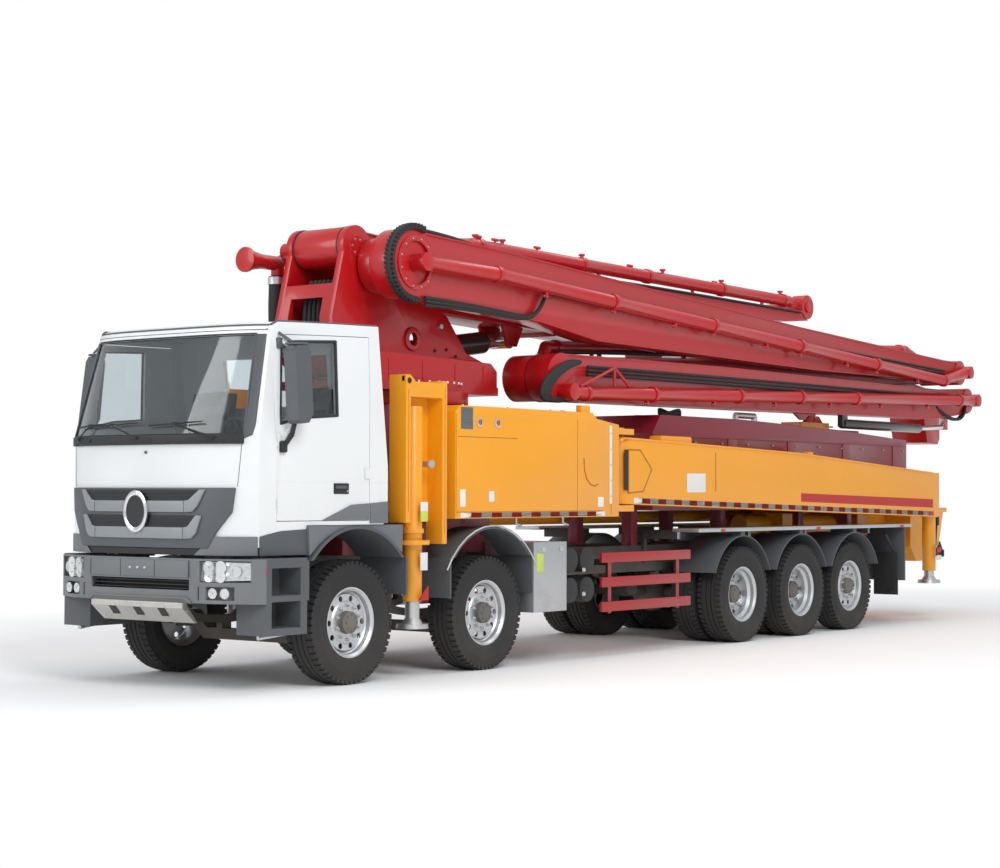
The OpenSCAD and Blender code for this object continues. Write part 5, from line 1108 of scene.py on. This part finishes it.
for y in (0.80, 0.84):
    hose(bm, [at(12.4, y, 2.86), at(12.9, y + 0.07, 2.62), at(13.25, y + 0.05, 2.66), at(13.3, y + 0.03, 2.95)],
         0.020, 1)
slab(bm, [at(8.75, 0.60, 2.70), at(9.45, 0.60, 2.70), at(9.30, 0.60, 2.585), at(9.0, 0.60, 2.585)],
     (0, 0.03, 0), 0.003, 0)
piece("arm_2_trim", bm, "arm_2", "boom_red", boom_red, hose_rubber, rim_silver)

bm = bmesh.new()
for y in (0.80, 0.765):
    hose(bm, [at(3.9, y - 0.21, 3.14), at(6.0, y - 0.21, 3.22), at(9.2, y - 0.21, 3.38),
              at(12.4, y - 0.21, 3.53)], 0.016, 1)
for share in (0.1, 0.3, 0.5, 0.7, 0.9):
    b = 4.0 + share * 8.6
    block(bm, at(b, 0.40, 3.10 + share * 0.42), at(b + 0.03, 0.45, 3.17 + share * 0.42), 0.004, 0)
piece("arm_3_trim", bm, "arm_3", "boom_red", boom_red, hose_rubber)

bm = bmesh.new()
# Chain of hose guides round the head of arm 4, hoses along its lower edge
head = (1.20, 3.805)
for step in range(30):
    turn = math.radians(72 + step * 7.0)
    place = (head[0] + 0.352 * math.cos(turn), head[1] + 0.352 * math.sin(turn))
    rod(bm, at(place[0], 0.80, place[1]), at(place[0], 0.90, place[1]), 0.019, None, 8, 1)
    inner = (head[0] + 0.318 * math.cos(turn), head[1] + 0.318 * math.sin(turn))
    rod(bm, at(inner[0], 0.868, inner[1]), at(place[0], 0.868, place[1]), 0.016, None, 6, 1)
for radius, y in ((0.335, 0.83), (0.335, 0.878), (0.36, 0.855)):
    hose(bm, [at(head[0] + radius * math.cos(math.radians(t)), y, head[1] + radius * math.sin(math.radians(t)))
              for t in range(66, 291, 15)], 0.020, 1)
for y, drop in ((0.885, 0.0), (0.895, 0.035), (0.885, 0.07)):
    hose(bm, [at(1.32, y, 3.49 - drop), at(2.0, y, 3.475 - drop * 0.6), at(2.7, y, 3.43 - drop * 0.5),
              at(3.02, y, 3.42 - drop * 0.4), at(3.16, y, 3.52), at(3.24, y, 3.66)], 0.017, 1)
hose(bm, [at(1.30, 0.72, 4.155), at(1.8, 0.72, 4.135), at(2.3, 0.72, 4.10), at(2.6, 0.72, 4.02)], 0.022, 1)
for y, z in ((0.882, 3.72), (0.882, 3.68)):
    hose(bm, [at(3.3, y, z), at(6.2, y, z - 0.14), at(9.2, y, z - 0.25), at(12.6, y, z - 0.36)], 0.014, 1)
turned(bm, [(0.205, 0.0), (0.250, 0.0), (0.250, 0.016), (0.240, 0.022), (0.205, 0.022)], at(1.20, 0.864, 3.805),
       40, 0)
for step in range(12):
    turn = math.radians(step * 30 + 15)
    place = (1.20 + 0.228 * math.cos(turn), 3.805 + 0.228 * math.sin(turn))
    rod(bm, at(place[0], 0.884, place[1]), at(place[0], 0.898, place[1]), 0.012, 0.010, 6, 2)
for share in (0.08, 0.2, 0.32, 0.4, 0.52, 0.6, 0.72, 0.8, 0.92):
    b, z = 2.35 + share * 10.05, 3.79 - share * 0.575
    block(bm, at(b - 0.02, 0.935, z - 0.118), at(b + 0.02, 0.975, z - 0.06), 0.004, 0)
    rod(bm, at(b - 0.035, 0.955, z - 0.10), at(b + 0.035, 0.955, z - 0.10), 0.010, None, 6, 2)
piece("arm_4_trim", bm, "arm_4", "boom_red", boom_red, hose_rubber, rim_silver)

bm = bmesh.new()
# Cross-headed lugs on the upper pipe and the hose beside it
for b, z in ((2.66, 4.20), (2.94, 4.195), (3.66, 4.185), (5.4, 4.155), (7.2, 4.125)):
    rod(bm, at(b, 0.475, z - 0.07), at(b, 0.475, z + 0.025), 0.013, None, 10, 0)
    rod(bm, at(b - 0.045, 0.475, z + 0.028), at(b + 0.045, 0.475, z + 0.028), 0.016, None, 10, 0)
for y in (0.552, 0.575):
    hose(bm, [at(1.7, y, 3.94), at(3.0, y, 4.00), at(6.0, y, 3.97), at(9.1, y, 3.93)], 0.014, 1)
piece("arm_5_trim", bm, "arm_5", "boom_red", boom_red, hose_rubber)

bm = bmesh.new()
for b in (1.4, 2.4, 4.0, 5.6, 7.2, 8.6):
    block(bm, at(b, -0.612, 3.86), at(b + 0.03, -0.60, 4.02), 0.003, 0)
hose(bm, [at(0.95, -0.595, 3.98), at(3.0, -0.592, 3.99), at(6.0, -0.592, 4.0), at(8.9, -0.592, 4.01)], 0.014, 1)
piece("arm_6_trim", bm, "arm_6", "boom_red", boom_red, hose_rubber)

# End hose. Thick black rubber in a steel clamp, bellied where it hangs over its tie.
bm = bmesh.new()
hose(bm, [at(0.99, -0.69, 3.755), at(0.99, -0.69, 3.60), at(0.975, -0.685, 3.50), at(0.985, -0.69, 3.38),
          at(0.99, -0.69, 3.24)], 0.078, 0, 6)
turned(bm, [(0.078, -0.035), (0.088, -0.035), (0.088, 0.035), (0.078, 0.035)], (0, 0, 0), 32, 1)
bmesh.ops.transform(bm, verts=[v for v in bm.verts if v.co.length < 0.2],
                    matrix=Matrix.Translation(at(0.99, -0.69, 3.71)) @ Matrix.Rotation(math.radians(90), 4, "X"))
end_hose = piece("end_hose_dressed", bm, "arm_6", "hose_rubber", hose_rubber, rim_silver)
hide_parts("end_hose")


# Deck and tank. Wine-red folded plate with bolted covers, bright hand rails and
# stowed hoses; the pads that the boom rests on stand at its rear.
dressed("deck_tank", "chassis", 0.012, [tank_wine_red, rim_silver],
        lambda place: 1 if place.z > 2.535 or (2.42 < place.z and abs(abs(place.y) - 0.70) < 0.021
                                               and 7.27 < AXLE_1_X - place.x < 7.76) else 0)
dressed("pedestal", "chassis", 0.012, [tank_wine_red])
dressed("boom_rest", "chassis", 0.010, [box_yellow, boom_red],
        lambda place: 1 if place.z > 2.562 else 0)
bm = bmesh.new()
for side in (1, -1):
    # Bright bent tube, wider than the rail it sleeves
    for start, end in (((7.30, 2.46), (7.30, 2.585)), ((7.30, 2.585), (7.73, 2.585)), ((7.73, 2.585), (7.73, 2.44))):
        rod(bm, at(start[0], side * 0.70, start[1]), at(end[0], side * 0.70, end[1]), 0.036, None, 16, 1)
    # Stowed hose coil at the tank's front end
    for k in range(4):
        hose(bm, [at(5.62 + 0.22 * math.cos(t * 0.7) + 0.24, side * 0.70 + side * 0.05 * math.sin(t * 0.7),
                     2.545 + 0.012 * k + 0.03 * math.sin(t * 1.4)) for t in range(10)], 0.016, 2)
    # Edge rail of the deck and its panel bolts
    seam(bm, [(5.32, 2.30), (11.48, 2.30)], side * 0.842, 0, 0.006)
    for b in range(11):
        rod(bm, at(5.6 + b * 0.58, side * 0.838, 2.24), at(5.6 + b * 0.58, side * 0.850, 2.24), 0.012, 0.010, 6, 1)
for b, y, wide in ((6.0, 0.0, 0.34), (7.9, -0.25, 0.28), (10.4, 0.1, 0.30)):
    block(bm, at(b, y - wide, 2.40), at(b + 0.6, y + wide, 2.545 if b < 7 else 2.50), 0.012, 0)
    rod(bm, at(b + 0.30, y - 0.07, 2.55), at(b + 0.30, y + 0.07, 2.55), 0.010, None, 8, 1)
piece("deck_trim", bm, "chassis", "tank_wine_red", tank_wine_red, rim_silver, hose_rubber)


# Chassis sides. Aluminium box and steel air tanks under the body, three red guard
# rails on dark posts, arch beads, mud flaps, lamps, and the pump's bronze parts.
dressed("chassis_tanks", "chassis", 0.022, [tank_aluminium, rubber_and_shade_black],
        lambda place: 1 if 3.14 < AXLE_1_X - place.x and place.z < 1.16 else 0)
dressed("side_guards", "chassis", 0.012, [guard_red, rubber_and_shade_black],
        lambda place: 1 if abs(place.y) < 1.145 else 0)
dressed("fenders", "chassis", 0.006, [trim_grey])
dressed("walkway", "chassis", 0.004, [tank_aluminium, frame_paint],
        lambda place: 1 if abs(place.y) < 0.90 or place.z < 1.20 else 0)
dressed("hopper", "chassis", 0.008, [box_yellow], shaped=eased(12.43, 1.08, 0.038))
bm = bmesh.new()
for side in (1, -1):
    # Label, latches and ribs of the alu box
    block(bm, at(2.62, side * 1.239, 0.90), at(2.73, side * 1.2425, 1.08), 0.001, 1)
    for b in (2.70, 3.00):
        block(bm, at(b, side * 1.239, 1.10), at(b + 0.05, side * 1.252, 1.15), 0.003, 2)
    for z in (0.60, 1.02):
        seam(bm, [(2.60, z), (3.10, z)], side * 1.2405, 2, 0.003)
    # Drain taps of the air tanks
    for z in (0.66, 0.90):
        rod(bm, at(3.42, side * 1.236, z), at(3.42, side * 1.25, z), 0.024, 0.018, 14, 2)
    # Bead along the second axle's arch
    arch = [(1.92 - 0.80 * math.cos(math.radians(t)), 0.56 + 0.80 * math.sin(math.radians(t)))
            for t in range(30, 151, 10)]
    seam(bm, arch, side * 1.243, 2, 0.008)
    # Reflectors on the walkway, and the rear mud flap on its stay
    for b in (6.07, 8.27, 10.50):
        block(bm, at(b, side * 1.243, 1.242), at(b + 0.09, side * 1.248, 1.275), 0.002, 3)
    block(bm, at(10.50, side * 0.86, 0.38), at(10.512, side * 1.20, 0.92), 0.003, 4)
    for start, end in (((10.30, 1.16), (10.56, 0.92)), ((10.56, 0.92), (10.62, 0.42)),
                       ((10.62, 0.42), (10.45, 0.42))):
        rod(bm, at(start[0], side * 1.12, start[1]), at(end[0], side * 1.12, end[1]), 0.022, None, 10, 4)
    # Treads of the cab steps
    for z in (0.50, 0.79):
        for b in (-1.06, -0.98, -0.90, -0.82):
            block(bm, at(b, side * 1.10, z - 0.004), at(b + 0.045, side * 1.225, z + 0.012), 0.004, 2)
    # Levelling rod under the step
    rod(bm, at(-1.10, side * 1.10, 0.46), at(-0.62, side * 1.16, 0.50), 0.020, 0.014, 12, 2)
    # Flanged ends and bent pipes of the pump, under the rear of the deck
    for b, z, r in ((10.75, 1.05, 0.085), (11.0, 0.92, 0.10), (11.22, 1.10, 0.075), (11.38, 0.90, 0.085)):
        rod(bm, at(b, side * 0.50, z), at(b, side * 0.80, z), r, r * 0.85, 20, 5)
        rod(bm, at(b, side * 0.80, z), at(b, side * 0.83, z), r * 1.2, None, 20, 5)
        for step in range(6):
            turn = math.radians(step * 60)
            rod(bm, at(b + r * math.cos(turn), side * 0.828, z + r * math.sin(turn)),
                at(b + r * math.cos(turn), side * 0.842, z + r * math.sin(turn)), 0.012, None, 6, 2)
    hose(bm, [at(10.75, side * 0.70, 1.12), at(10.9, side * 0.78, 1.26), at(11.1, side * 0.74, 1.22),
              at(11.22, side * 0.70, 1.12)], 0.035, 5)
    hose(bm, [at(11.0, side * 0.70, 0.84), at(11.15, side * 0.76, 0.72), at(11.32, side * 0.72, 0.74),
              at(11.40, side * 0.66, 0.88)], 0.032, 5)
    # Rear lamps in black housings, on a beam that plates carry from the hopper
    for y in (0.50, 0.708):
        slab(bm, [at(12.61, side * y, 0.85), at(12.79, side * y, 1.02), at(12.87, side * y, 0.91),
                  at(12.87, side * y, 0.80)], (0, side * 0.012, 0), 0.002, 4)
    block(bm, at(12.86, side * 0.50, 0.80), at(12.93, side * 0.72, 0.90), 0.012, 4)
    for k, number in enumerate((3, 3, 6)):
        rod(bm, at(12.93, side * (0.545 + 0.065 * k), 0.85), at(12.945, side * (0.545 + 0.065 * k), 0.85), 0.026,
            0.022, 18, number)
block(bm, at(12.85, -0.74, 0.82), at(12.87, 0.74, 0.89), 0.004, 4)
block(bm, at(12.868, -0.20, 0.80), at(12.874, 0.20, 0.92), 0.002, 6)
piece("chassis_trim", bm, "chassis", "tank_aluminium", tank_aluminium, label_green, rim_silver, marker_red,
      rubber_and_shade_black, pump_orange, label_white)
